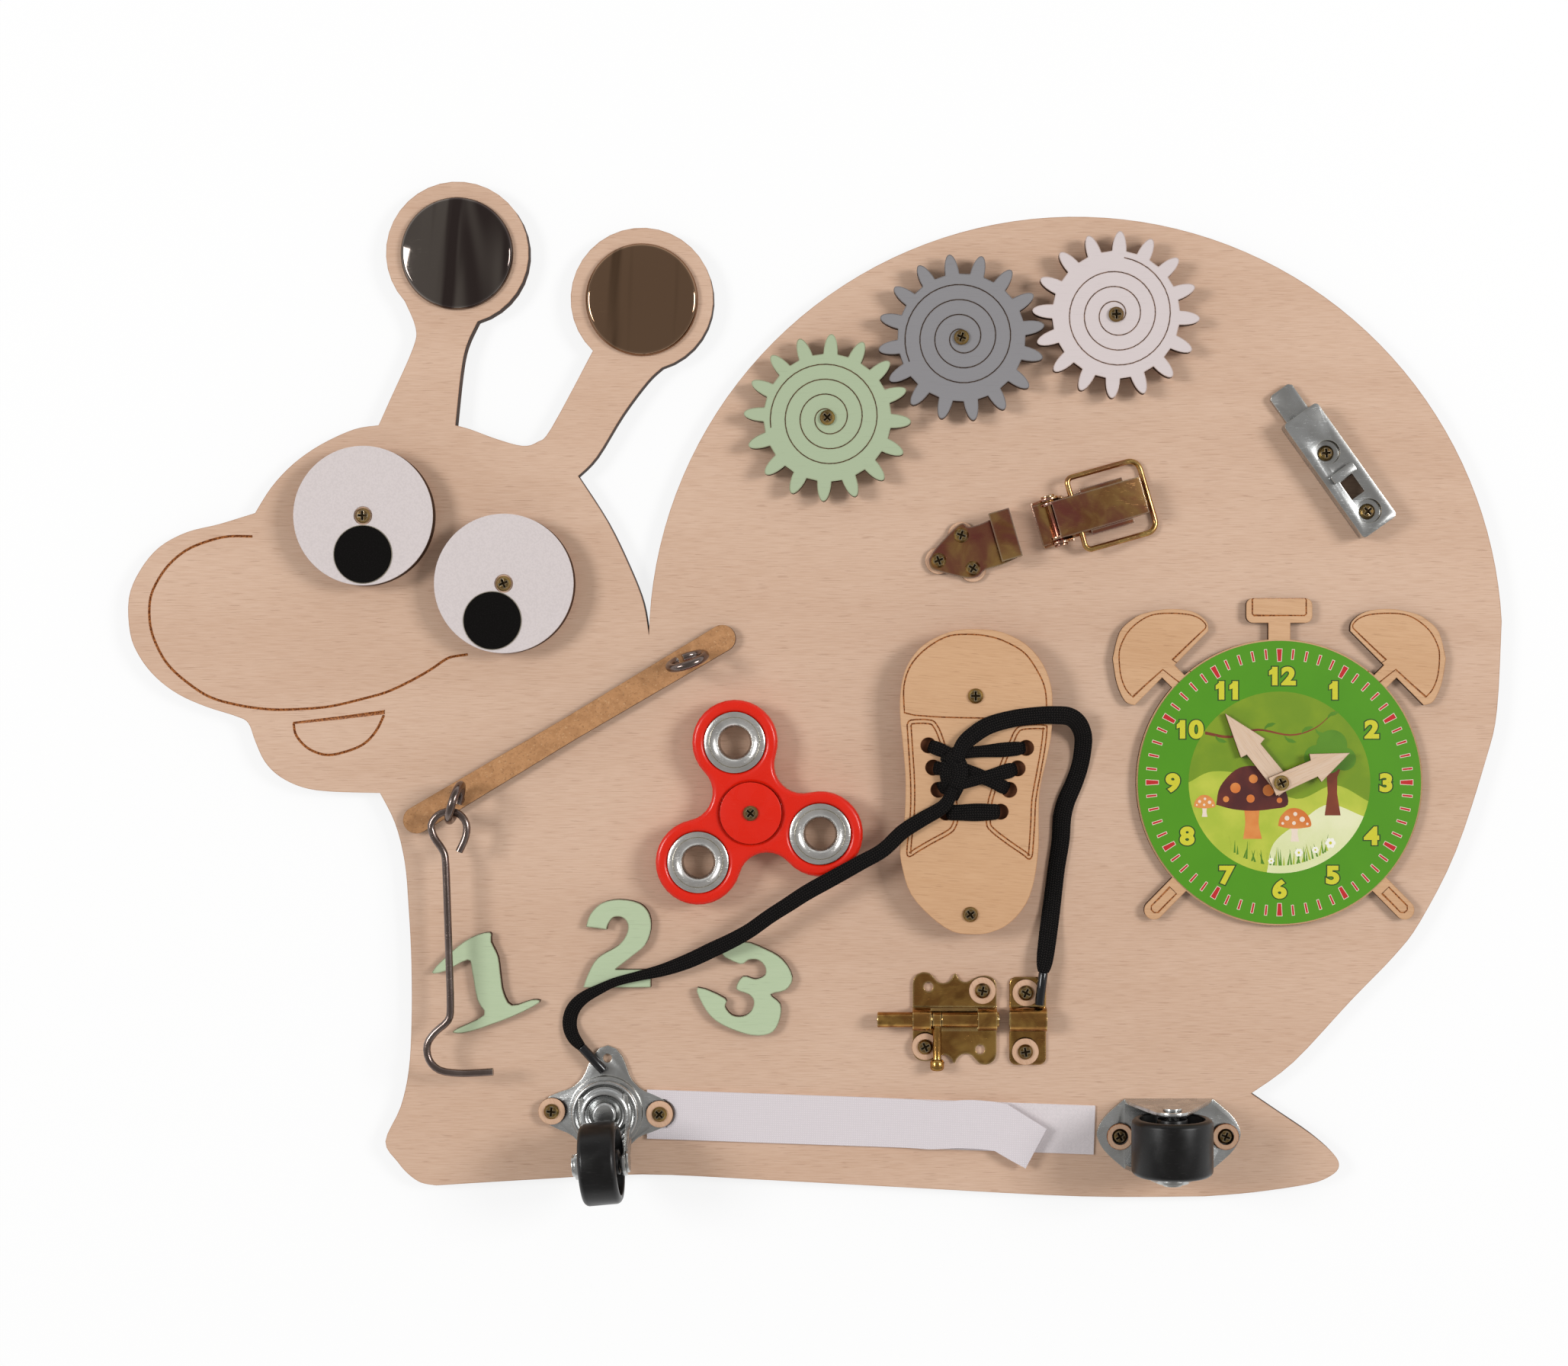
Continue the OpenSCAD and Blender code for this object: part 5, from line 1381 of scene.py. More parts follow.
@dataclass
class Hardware:
    """The bought fittings: draw latch, bolts, castors, hook, screw eyes and screws."""

    soft: float = 0.25
    sheet_top: float = 7.2
    tunnel_reach: float = 4.4
    bolt_wave: Line = (
        (-15.2, 9.5), (-15.1, 13.2), (-14.3, 15.2), (-12.8, 16.4), (-11, 16.8), (-9.1, 16.3), (-7.6, 14.8),
        (-6.3, 13.4), (-4.5, 12.8), (-2.4, 13.2), (-0.9, 14.6), (0.2, 16.3), (1.3, 14.6), (2.8, 13.4), (4.7, 13.3),
        (6.5, 14.2), (8.7, 15.2), (11.5, 15.5), (13.8, 14.6), (15, 12.6), (15.2, 9.5),
    )
    bolt_holes: Line = ((41.4, -108.5), (60.2, -131.3))
    hole_radius: float = 1.75
    beyond: float = 30.0  # past the rim of any brass plate
    strike_half: float = 6.7
    strike_ends: Place = (-16.9, 15.1)
    strike_round: float = 2.6
    swivel_centre: Spot = (-75.9, -154.0, 0.0)
    swivel_rings: Line = (
        (12.0, 11.6), (12.0, 12.2), (11.6, 12.6), (10.9, 12.7), (10.4, 12.4), (10.1, 12.0), (9.5, 12.0), (9.0, 12.6),
        (8.3, 13.2), (7.5, 13.5), (6.7, 13.3), (6.2, 12.7), (5.8, 12.3), (5.2, 12.2), (4.8, 12.0), (4.8, 11.6),
    )
    castor_screws: Line = ((111.0, -162.8), (149.4, -162.8))
    recess_reach: float = 1.9
    castor_centre: Place = (128.8, -162.0)
    castor_end: Line = ((15.5, 13.2), (19.0, 10.3), (22.2, 7.4), (24.4, 4.7), (25.7, 2.1), (26.3, 0.1))
    washer: Line = ((2.95, 7.6), (4.8, 7.6), (4.8, 8.7), (4.6, 8.9), (2.95, 8.9))

    def build(self) -> None:
        """Dress each fitting in its plating, with its edges softened."""
        for node, name, finish, soft in self.fittings():
            dress(node, name, finish, soft)
        self.bolt_plate("barrel_bolt_plate", "brass_bolt_plate", (50.9, -120.0), self.bolt_outline(), self.bolt_holes)
        self.bolt_plate("barrel_bolt_strike", "brass_bolt_strike", (77.5, -120.0), self.strike_outline(), ())
        self.swivel_head()
        self.fork()
        self.fixed_castor()
        for node, name in (("pivot_screws", "pivot_screw_set"), ("mounting_screws", "mounting_screw_set")):
            self.screws(node, name)

    def bolt_outline(self) -> list[Place]:
        """Outline the bolt's plate: two lobes and a point on each long side."""
        wave = [tuple(p) for p in spline(self.bolt_wave, 4)]
        return [*wave, *[(-x, -y) for x, y in wave]]

    def strike_outline(self) -> list[Place]:
        """Outline the strike: a rectangle with rounded corners.

        Returns:
            The outline round the strike's centre.
        """
        r = self.strike_round
        side, (low, high) = self.strike_half - r, self.strike_ends
        corners = ((side, high - r, 0), (-side, high - r, 90), (-side, low + r, 180), (side, low + r, 270))
        return [p for x, y, turn in corners for p in arc((x, y), r, turn, turn + 90, 8)]

    def bolt_plate(
        self, node: str, name: str, centre: Place, outline: Line, holes: Line
    ) -> None:
        """Set a node's raised tunnel on a flat plate of its own outline, with its spare holes.

        Args:
            node: the node that it stands for.
            name: the new piece's name.
            centre: the tunnel's place.
            outline: the plate's outline round the centre.
            holes: the spare holes on the board.
        """
        flat = plate("flat", placed(outline, centre), FACE + 0.02, self.sheet_top)
        for hole in holes:
            cut(flat, plate("hole", circle(hole, self.hole_radius, 28), FACE - 1, self.sheet_top + 1))
        soften(flat, 0.5, 3)
        tunnel = copy_of(node, "tunnel")
        reach, beyond = self.tunnel_reach, self.beyond
        for side in (-1, 1):
            near, far = side * reach, side * beyond
            corners = placed([(-beyond, near), (beyond, near), (beyond, far), (-beyond, far)], centre)
            cut(tunnel, plate("side", corners, FACE - 2, FACE + 20))
        below = placed([(-beyond, -beyond), (beyond, -beyond), (beyond, beyond), (-beyond, beyond)], centre)
        cut(tunnel, plate("below", below, FACE - 2, self.sheet_top - 0.1))
        soften(tunnel, 0.3, 2)
        finish_piece(join(name, [flat, tunnel]), BRASS, "board", [node])

    def swivel_head(self) -> None:
        """Turn the pressed rings on the crown of the swivelling fork."""
        rings = lathe("swivel_castor_rings", self.swivel_rings, self.swivel_centre, steps=96)
        finish_piece(rings, BLUE_ZINC, "fork", angle=60)

    def fork(self) -> None:
        """Slant the front edges of the fork's legs, which rise beside the wheel only."""
        fork = copy_of("castor_fork", "swivel_castor_fork")
        outline = [(-140, 12.9), (-157, 12.9), (-165, 27), (-165, 60), (-140, 60)]
        front = plate("front", outline, -110, -40)
        front.data.transform(Matrix(((0, 0, 1, 0), (1, 0, 0, 0), (0, 1, 0, 0), (0, 0, 0, 1))))
        cut(fork, front)
        soften(fork, self.soft)
        finish_piece(fork, BLUE_ZINC, "fork", ["castor_fork"])

    def screws(self, node: str, name: str) -> None:
        """Dress a set of screws and paint shade into the cross recess in each head.

        Args:
            node: the node that they stand for.
            name: the new piece's name.
        """
        piece = copy_of(node, name)
        soften(piece, 0.12)
        shape = bmesh.new()
        shape.from_mesh(piece.data)
        shaded_faces = set()
        for screw in loose_parts(shape):
            top = max(v.co.z for v in screw)
            heads = [v.co for v in screw if v.co.z > top - 0.0004]
            middle = (sum((v for v in heads), Vector()) / len(heads)).xy
            for face in {face for v in screw for face in v.link_faces}:
                place = face.calc_center_median()
                # faces inside the cross recess get the painted shade
                deep = top - 0.0018 < place.z < top - 0.0003 and face.normal.z > -0.1
                if deep and (place.xy - middle).length < self.recess_reach * MM:
                    shaded_faces.add(face.index)
        shape.free()
        body, slot = rest_of(node)
        finish_piece(piece, [SCREW, RECESS_SHADE], body, [node])
        for face in piece.data.polygons:
            face.material_index = int(face.index in shaded_faces)

    def fixed_castor(self) -> None:
        """Round the ends of the fixed castor's plate and lay a wooden washer round each of its screws."""
        bracket = copy_of("castor_right_bracket", "fixed_castor_bracket")
        x, y = self.castor_centre
        corner = [*spline(self.castor_end, 4), (32, 0.1), (32, 18), (15.5, 18)]
        for u in (-1, 1):
            for v in (-1, 1):
                cut(bracket, plate("corner", [(x + a * u, y + b * v) for a, b in corner], FACE - 1, FACE + 1.9))
        soften(bracket, self.soft)
        finish_piece(bracket, BLUE_ZINC, "board", ["castor_right_bracket"])
        for number, spot in enumerate(self.castor_screws):
            ring = lathe(f"fixed_castor_washer_{number + 1}", self.washer, (*spot, 0.0), steps=48)
            finish_piece(ring, WASHER_BIRCH, "board")

    def fittings(self) -> list[tuple[str, str, Finish, float]]:
        """List each node with its piece's name, its finish and the softening of its edges in mm.

        Returns:
            The list.
        """
        soft = self.soft
        return [
            ("screw_eye_left", "left_screw_eye", ZINC_WIRE, 0.0),
            ("screw_eye_right", "right_screw_eye", ZINC_WIRE, 0.0),
            ("hook", "wire_hook_rod", ZINC_WIRE, 0.0),
            ("pivot_spacers", "turning_spacers", BIRCH, 0.0),
            ("shoe_spacers", "shoe_posts", BIRCH, 0.0),
            ("catch_spacers", "catch_posts", WASHER_BIRCH, 0.0),
            ("ply_washers", "wooden_washers", WASHER_BIRCH, 0.15),
            ("catch_plate", "latch_catch", YELLOW_ZINC, soft),
            ("latch_base", "latch_bracket", YELLOW_ZINC, soft),
            ("latch_lever", "latch_handle", YELLOW_ZINC, soft),
            ("latch_pin", "latch_hinge_pin", YELLOW_ZINC, 0.2),
            ("latch_bail", "latch_wire_bail", GOLD_WIRE, 0.0),
            ("slide_bolt_case", "flat_bolt_case", BLUE_ZINC, soft),
            ("slide_bolt_bar", "flat_bolt_bar", BLUE_ZINC, soft),
            ("barrel_bolt_rod", "brass_bolt_rod", BRASS, 0.4),
            ("barrel_bolt_knob", "brass_bolt_knob", BRASS, 0.2),
            ("castor_left_plate", "swivel_castor_plate", BLUE_ZINC, soft),
            ("castor_left_axle", "swivel_castor_axle", BLUE_ZINC, soft),
            ("castor_left_wheel", "swivel_castor_wheel", BLACK, 0.6),
            ("castor_right_axle", "fixed_castor_axle", BLUE_ZINC, soft),
            ("castor_right_wheel", "fixed_castor_wheel", BLACK, 0.6),
        ]


# ---- Shoe ----


@dataclass
class LaceTail:
    """One free end of the lace, from the knot to its end tube."""

    side: str
    route: Route
    width: float = 6.5
    thick: float = 1.7
    sway: float = 10.0
    pinch: float = 0.0
    pinch_at: Place = (0.8, 0.07)

    def build(self) -> None:
        """Sweep the braid along its route and dress the tube on its end."""
        line = evenly(spline(self.route, 6), 1.2)
        lace = strip(f"{self.side}_lace", line, self.section, self.lean)
        tube = copy_of(f"aglet_{self.side}", f"{self.side}_lace_tip")
        soften(tube, 0.35, 2, 50)
        finish_piece(tube, CLEAR, "board", [f"aglet_{self.side}"])
        finish_piece(lace, LACE, "board", [f"lace_{self.side}_tail"], 60)

    def section(self, number: int, share: float) -> list[Place]:
        """Give the braid's oval at a share of its length; it is gathered a little at the knot and in the tube.

        Args:
            number: the point's number; not used.
            share: its share of the length.

        Returns:
            The oval.
        """
        gather = 1 - 0.3 * math.exp(-share * 18) - 0.38 * math.exp(-(1 - share) * 60)
        gather *= 1 - self.pinch * math.exp(-(((share - self.pinch_at[0]) / self.pinch_at[1]) ** 2) / 2)
        half = self.width / 2 * gather * (1 + 0.03 * math.sin(share * 23))
        return oval(half, self.thick / 2 / gather ** 0.5, 0.75)

    def lean(self, number: int) -> Vector:
        """Let the flat braid roll a little from side to side on its way."""
        roll = math.radians(self.sway) * math.sin(number * 0.07)
        return Vector((math.sin(roll) * 0.5, math.sin(roll), math.cos(roll)))


@dataclass
class LacingShoe:
    """The wooden shoe with its engraved panels, its lace, the knot and the two free ends."""

    line_width: float = 0.5
    top: float = 16.0
    strap_width: float = 6.0
    knotted: int = 6  # how many of the straps end in the knot
    anchors: Sequence[tuple[Spot, Spot]] = (
        ((50.6, -23.8, 0.9), (54.0, -23.0, 1.0)), ((49.0, -29.2, 0.8), (52.4, -34.2, 1.5)),
        ((50.6, -33.2, 1.0), (53.4, -28.2, 0.7)),
    )
    strap_thick: float = 1.8
    toe_cap: Line = (
        (32.6, -8.6), (32.5, 1), (35, 8.5), (40.5, 14.5), (48, 18.8), (55.5, 19.6), (62.5, 19), (69, 17), (76, 12.8),
        (80.8, 6), (83.4, -0.5), (84, -9.8),
    )
    cap_seam: Line = ((36, -9.5), (48, -10.3), (68, -10.6), (81, -10.2))
    left_panel: Line = (
        (33.6, -13), (35, -11.3), (41.5, -11.2), (44.2, -12.8), (46.8, -18.7), (49.5, -30), (51.3, -39.8),
        (51.9, -46.5), (51.2, -49.5), (49.3, -52), (43, -55.5), (37.5, -58.7), (34.8, -60.4), (33.6, -59.6),
        (33.8, -55), (34.8, -45), (34.9, -34), (34.2, -22),
    )
    right_panel: Line = (
        (72, -15.8), (74, -13.6), (78, -13), (83, -13.1), (84, -14.4), (83.2, -22), (81.4, -32), (80, -40),
        (79.6, -48), (79, -57), (78.6, -60.4), (77.4, -61.4), (75.5, -59.9), (69.8, -56), (63.8, -51.3),
        (62.2, -48.1), (63, -39.8), (67.6, -26.3),
    )
    panel_gap: float = 1.4
    holes: Sequence[tuple[Place, Place]] = (
        ((41.3, -20.4), (76.5, -21.3)), ((43, -28.4), (73.4, -28.7)), ((44.9, -36.4), (70.4, -36.4)),
        ((47.6, -44.6), (67.3, -44.3)),
    )
    hole_radius: float = 2.88
    tuck: float = 0.9
    dive: Place = (13.4, 15.4)  # heights in a hole and at its mouth
    wraps: Sequence[Route] = (
        (
            (46.6, -24.4, 17.0), (49.6, -24.6, 18.3), (52.0, -27.0, 18.9), (52.4, -31.0, 18.9), (51.2, -35.4, 18.6),
            (49.2, -39.0, 17.4),
        ),
        ((53.6, -21.6, 17.6), (50.6, -24.6, 18.8), (48.2, -28.6, 18.7), (48.6, -33.0, 18.2), (50.6, -36.6, 17.2)),
    )
    right_route: Route = (
        (51.5, -26, 18.9), (53.5, -20.5, 18.7), (57.5, -16.6, 18.3), (63.5, -13, 17.6), (72.5, -10.6, 17),
        (81, -9.6, 17), (87, -9.5, 16.9), (92, -10, 14.8), (95.5, -12.5, 12.2), (97.5, -17, 9.4), (97.5, -22, 7.6),
        (96.5, -28, 7), (94.5, -34, 7), (91.5, -41, 7), (90, -47, 7), (89.5, -55, 7), (88, -65, 7), (87, -73, 7),
        (86, -81, 7.2), (85, -88, 8.4), (84, -95, 10), (83, -102.8, 10.8),
    )
    left_route: Route = (
        (50.4, -35.5, 18.9), (47, -42, 18.2), (39, -47, 17.3), (32, -51.5, 17.2), (25, -58, 17.6), (17, -62.5, 18),
        (8, -67.5, 18.1), (-2, -73, 18.1), (-9, -77.5, 17.9), (-16, -82, 17.5), (-23, -87, 17.3), (-30, -91, 15.6),
        (-37, -94.5, 12.8), (-43, -97.5, 11), (-49, -100, 10.5), (-56, -102.3, 10.4), (-64, -104.2, 10.4),
        (-72, -106.3, 10.4), (-78, -109, 10.2), (-83.5, -112, 9.3), (-87.2, -115.5, 7.8), (-89, -119.5, 7),
        (-89, -123.5, 7.4), (-87.4, -127, 8.4), (-84.6, -130, 9.5),
    )

    def build(self) -> None:
        """Make the plate, the crossings and the free ends of the lace."""
        self.plate()
        self.crossings()
        LaceTail("right", self.right_route).build()
        LaceTail("left", self.left_route, 5.6, 2.1, 16.0, 0.4).build()

    def plate(self) -> None:
        """Engrave the toe cap and the two eyelet panels, and lay a dark disc low in each eyelet as painted shade."""
        shoe = copy_of("shoe_plate", "wooden_shoe")
        cap = [*spline(self.toe_cap, 6), *spline(self.cap_seam[::-1], 3)]
        engrave(shoe, [cap], self.top, self.line_width, closed=True)
        for panel in (self.left_panel, self.right_panel):
            outer = [tuple(p) for p in spline([*panel, panel[0]], 3)][:-1]
            for outline in (outer, inset(outer, self.panel_gap)):
                engrave(shoe, [outline], self.top, self.line_width, closed=True)
        finish_piece(shoe, FIGURE_BIRCH, "board", ["shoe_plate"])
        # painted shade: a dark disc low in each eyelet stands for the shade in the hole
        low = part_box("shoe_plate")[0].z / MM
        rounds = [circle(hole, self.hole_radius, 32) for pair in self.holes for hole in pair]
        shade_discs = [plate("floor", outline, low + 0.9, low + 1.3) for outline in rounds]
        finish_piece(join("burnt_eyelet_floors", shade_discs), EYELET_SHADE, "board")

    def crossings(self) -> None:
        """Lay a strap from each hole to the knot, one straight across, and the knot's two wraps."""
        low = self.top + self.strap_thick / 2
        deep, mouth = self.dive
        straps = []
        for pair, anchors in zip(self.holes, self.anchors):
            for hole, anchor in zip(pair, anchors):
                a, b, rise = Vector(hole), Vector(anchor[:2]), anchor[2]
                a += (b - a).normalized() * self.tuck
                way = ((0.0, deep), (0.03, mouth), (0.2, low), (0.6, low + rise * 0.4), (1.0, low + rise))
                straps.append([(*a.lerp(b, share), height) for share, height in way])
        a, b = (Vector(hole) for hole in self.holes[-1])
        a, b = a + (b - a).normalized() * self.tuck, b + (a - b).normalized() * self.tuck
        over = ((0.0, deep), (0.01, mouth), (0.09, low), (0.5, low + 0.3), (0.91, low), (0.99, mouth), (1.0, deep))
        straps.append([(*a.lerp(b, share), height) for share, height in over])
        straps += self.wraps
        pieces = [self.strap(number, points) for number, points in enumerate(straps)]
        lacing = join("lace_knot_and_straps", pieces)
        finish_piece(lacing, LACE, "board", ["lace_crossings"], 60)

    def strap(self, number: int, points: Route) -> Piece:
        """Sweep one flat strap along its points, with its flat side facing away from the shoe.

        Args:
            number: the strap's place in the list.
            points: where it runs.

        Returns:
            The strap.
        """
        line = evenly(spline(points, 5), 0.9)
        flat = (line[-1] - line[0]).xy.normalized()
        ahead = Vector((flat.x, flat.y, 0))

        def face_up(i: int) -> Vector:
            """Give the direction away from the shoe where the strap rises, runs or dives."""
            run = (line[min(i + 1, len(line) - 1)] - line[max(i - 1, 0)]).normalized()
            return Vector((0, 0, 1)) * max(run.dot(ahead), 0.0) - ahead * run.z + Vector((0, 0, 1e-3))

        def section(i: int, share: float) -> list[Place]:
            """Give the strap's section, a little narrower where it dives into a hole.

            Args:
                i: the point's number.
                share: its share of the length.

            Returns:
                The section.
            """
            half = self.strap_width / 2 * (0.82 + 0.18 * min(1.0, max(0.0, (line[i].z - 14.5) / 2)))
            half *= 1 - 0.06 * math.sin(share * 9 + number)
            if number < self.knotted:
                half *= 0.92 - 0.24 * share
            return oval(half, self.strap_thick / 2, 0.7)

        return strip(f"strap {number}", line, section, face_up)


# ---- Clock ----


@dataclass
class DialPrinter:
    """Collects thin layers of ink over the dial and joins them into one printed piece."""

    centre: Place
    low: float
    step: float = 0.012
    layers: list[tuple[Piece, Finish]] = field(default_factory=list)

    def lay(self, outline: Line, ink: Finish, level: float) -> None:
        """Print a shape given round the dial's centre, in mm, on one of the levels."""
        high = self.low + self.step * (level + 1)
        self.layers.append((plate("ink", placed(outline, self.centre), self.low, high), ink))

    def numeral(self, text: str, place: Place, height: float, grow: float, ink: Finish, level: float) -> None:
        """Print a plain numeral, grown all round by a width in mm.

        Args:
            text: the number.
            place: its foot's middle, round the dial's centre.
            height: its height in mm.
            grow: the width.
            ink: its ink.
            level: its layer.
        """
        curve = bpy.data.curves.new("numeral", "FONT")
        curve.body = text
        curve.size = height * MM * 1.3  # gives numerals of that height
        curve.align_x = "CENTER"
        curve.bevel_depth = grow * MM
        curve.bevel_resolution = 2
        holder = new_object("numeral", curve)
        bpy.context.view_layer.update()
        mesh = bpy.data.meshes.new_from_object(holder.evaluated_get(bpy.context.evaluated_depsgraph_get()))
        bpy.data.objects.remove(holder)
        bpy.data.curves.remove(curve)
        tall = self.step * (level + 1)
        flat = Matrix.Diagonal((1.16, 1.0, tall / (2 * grow), 1.0))
        spot = Vector((self.centre[0] + place[0], self.centre[1] + place[1] - height * 0.46, self.low + tall / 2)) * MM
        mesh.transform(Matrix.Translation(spot) @ flat)
        self.layers.append((new_object("numeral", mesh), ink))
        self.flags(mesh, height, grow, ink, level)

    def flags(self, mesh: bpy.types.Mesh, height: float, grow: float, ink: Finish, level: float) -> None:
        """Print the slanted stroke at the top of each 1, which the font draws as a bare bar.

        Args:
            mesh: the printed numeral.
            height: its height in mm.
            grow: its outline's width.
            ink: its ink.
            level: its layer.
        """
        shape = bmesh.new()
        shape.from_mesh(mesh)
        bars = []
        for part in loose_parts(shape):
            across = [v.co.x / MM - self.centre[0] for v in part]
            up = [v.co.y / MM - self.centre[1] for v in part]
            if max(across) - min(across) < 0.5 * height < 0.55 * (max(up) - min(up)):
                bars.append((min(across) + 1.16 * grow, max(up) - grow))
        shape.free()
        for x, y in sorted(bars):
            tip = x - 1.2 - grow
            upper = [(x + 0.3, y + grow), (tip, y - 1.3 + 0.4 * grow)]
            self.lay([*upper, (tip, y - 2.2 - grow), (x + 0.3, y - 1.5 - grow)], ink, level + 0.4)

    def finish(self, name: str) -> Piece:
        """Join the layers and dress each one in its ink.

        Args:
            name: the printed piece's name.

        Returns:
            The printed piece.
        """
        inks: list[Finish] = []
        numbers = []
        for _, ink in self.layers:
            if ink not in inks:
                inks.append(ink)
            numbers.append(inks.index(ink))
        printed = merge(name, [piece for piece, _ in self.layers])
        for face in printed.data.polygons:
            face.material_index = numbers[face.material_index]
        indices = [face.material_index for face in printed.data.polygons]
        finish_piece(printed, inks, "board")
        printed.data.polygons.foreach_set("material_index", indices)
        return printed


INK_NUMERAL = Print("numeral ink", paint(205, 200, 48), mottle=paint(190, 184, 40))
INK_OUTLINE = Print("outline ink", paint(38, 74, 22), mottle=paint(30, 60, 20))
INK_TICK = Print("tick ink", paint(190, 32, 32), mottle=paint(166, 28, 28))
INK_PALE = Print("pale ink", paint(232, 214, 196), mottle=paint(220, 204, 190))
INK_RING = Print("ring ink", paint(77, 145, 8), mottle=paint(68, 134, 6))
INK_SKY = Print("sky ink", paint(126, 152, 26), mottle=paint(104, 138, 22), amount=0.7)
INK_MEADOW = Print("meadow ink", paint(188, 196, 70), mottle=paint(150, 176, 44), amount=0.6)
INK_CREAM = Print("cream ink", paint(226, 226, 184), mottle=paint(206, 214, 150), amount=0.6)
INK_LEAF = Print("leaf ink", paint(74, 122, 24), mottle=paint(96, 146, 34), amount=0.7)
INK_BARK = Print("bark ink", paint(120, 54, 32), mottle=paint(150, 74, 40), amount=0.7)
INK_CAP = Print("cap ink", paint(74, 26, 26), mottle=paint(110, 44, 32), amount=0.8)
INK_ORANGE = Print("orange ink", paint(206, 112, 46), mottle=paint(222, 150, 80), amount=0.8)
INK_WHITE = Print("white ink", paint(240, 238, 228), mottle=paint(226, 222, 208))


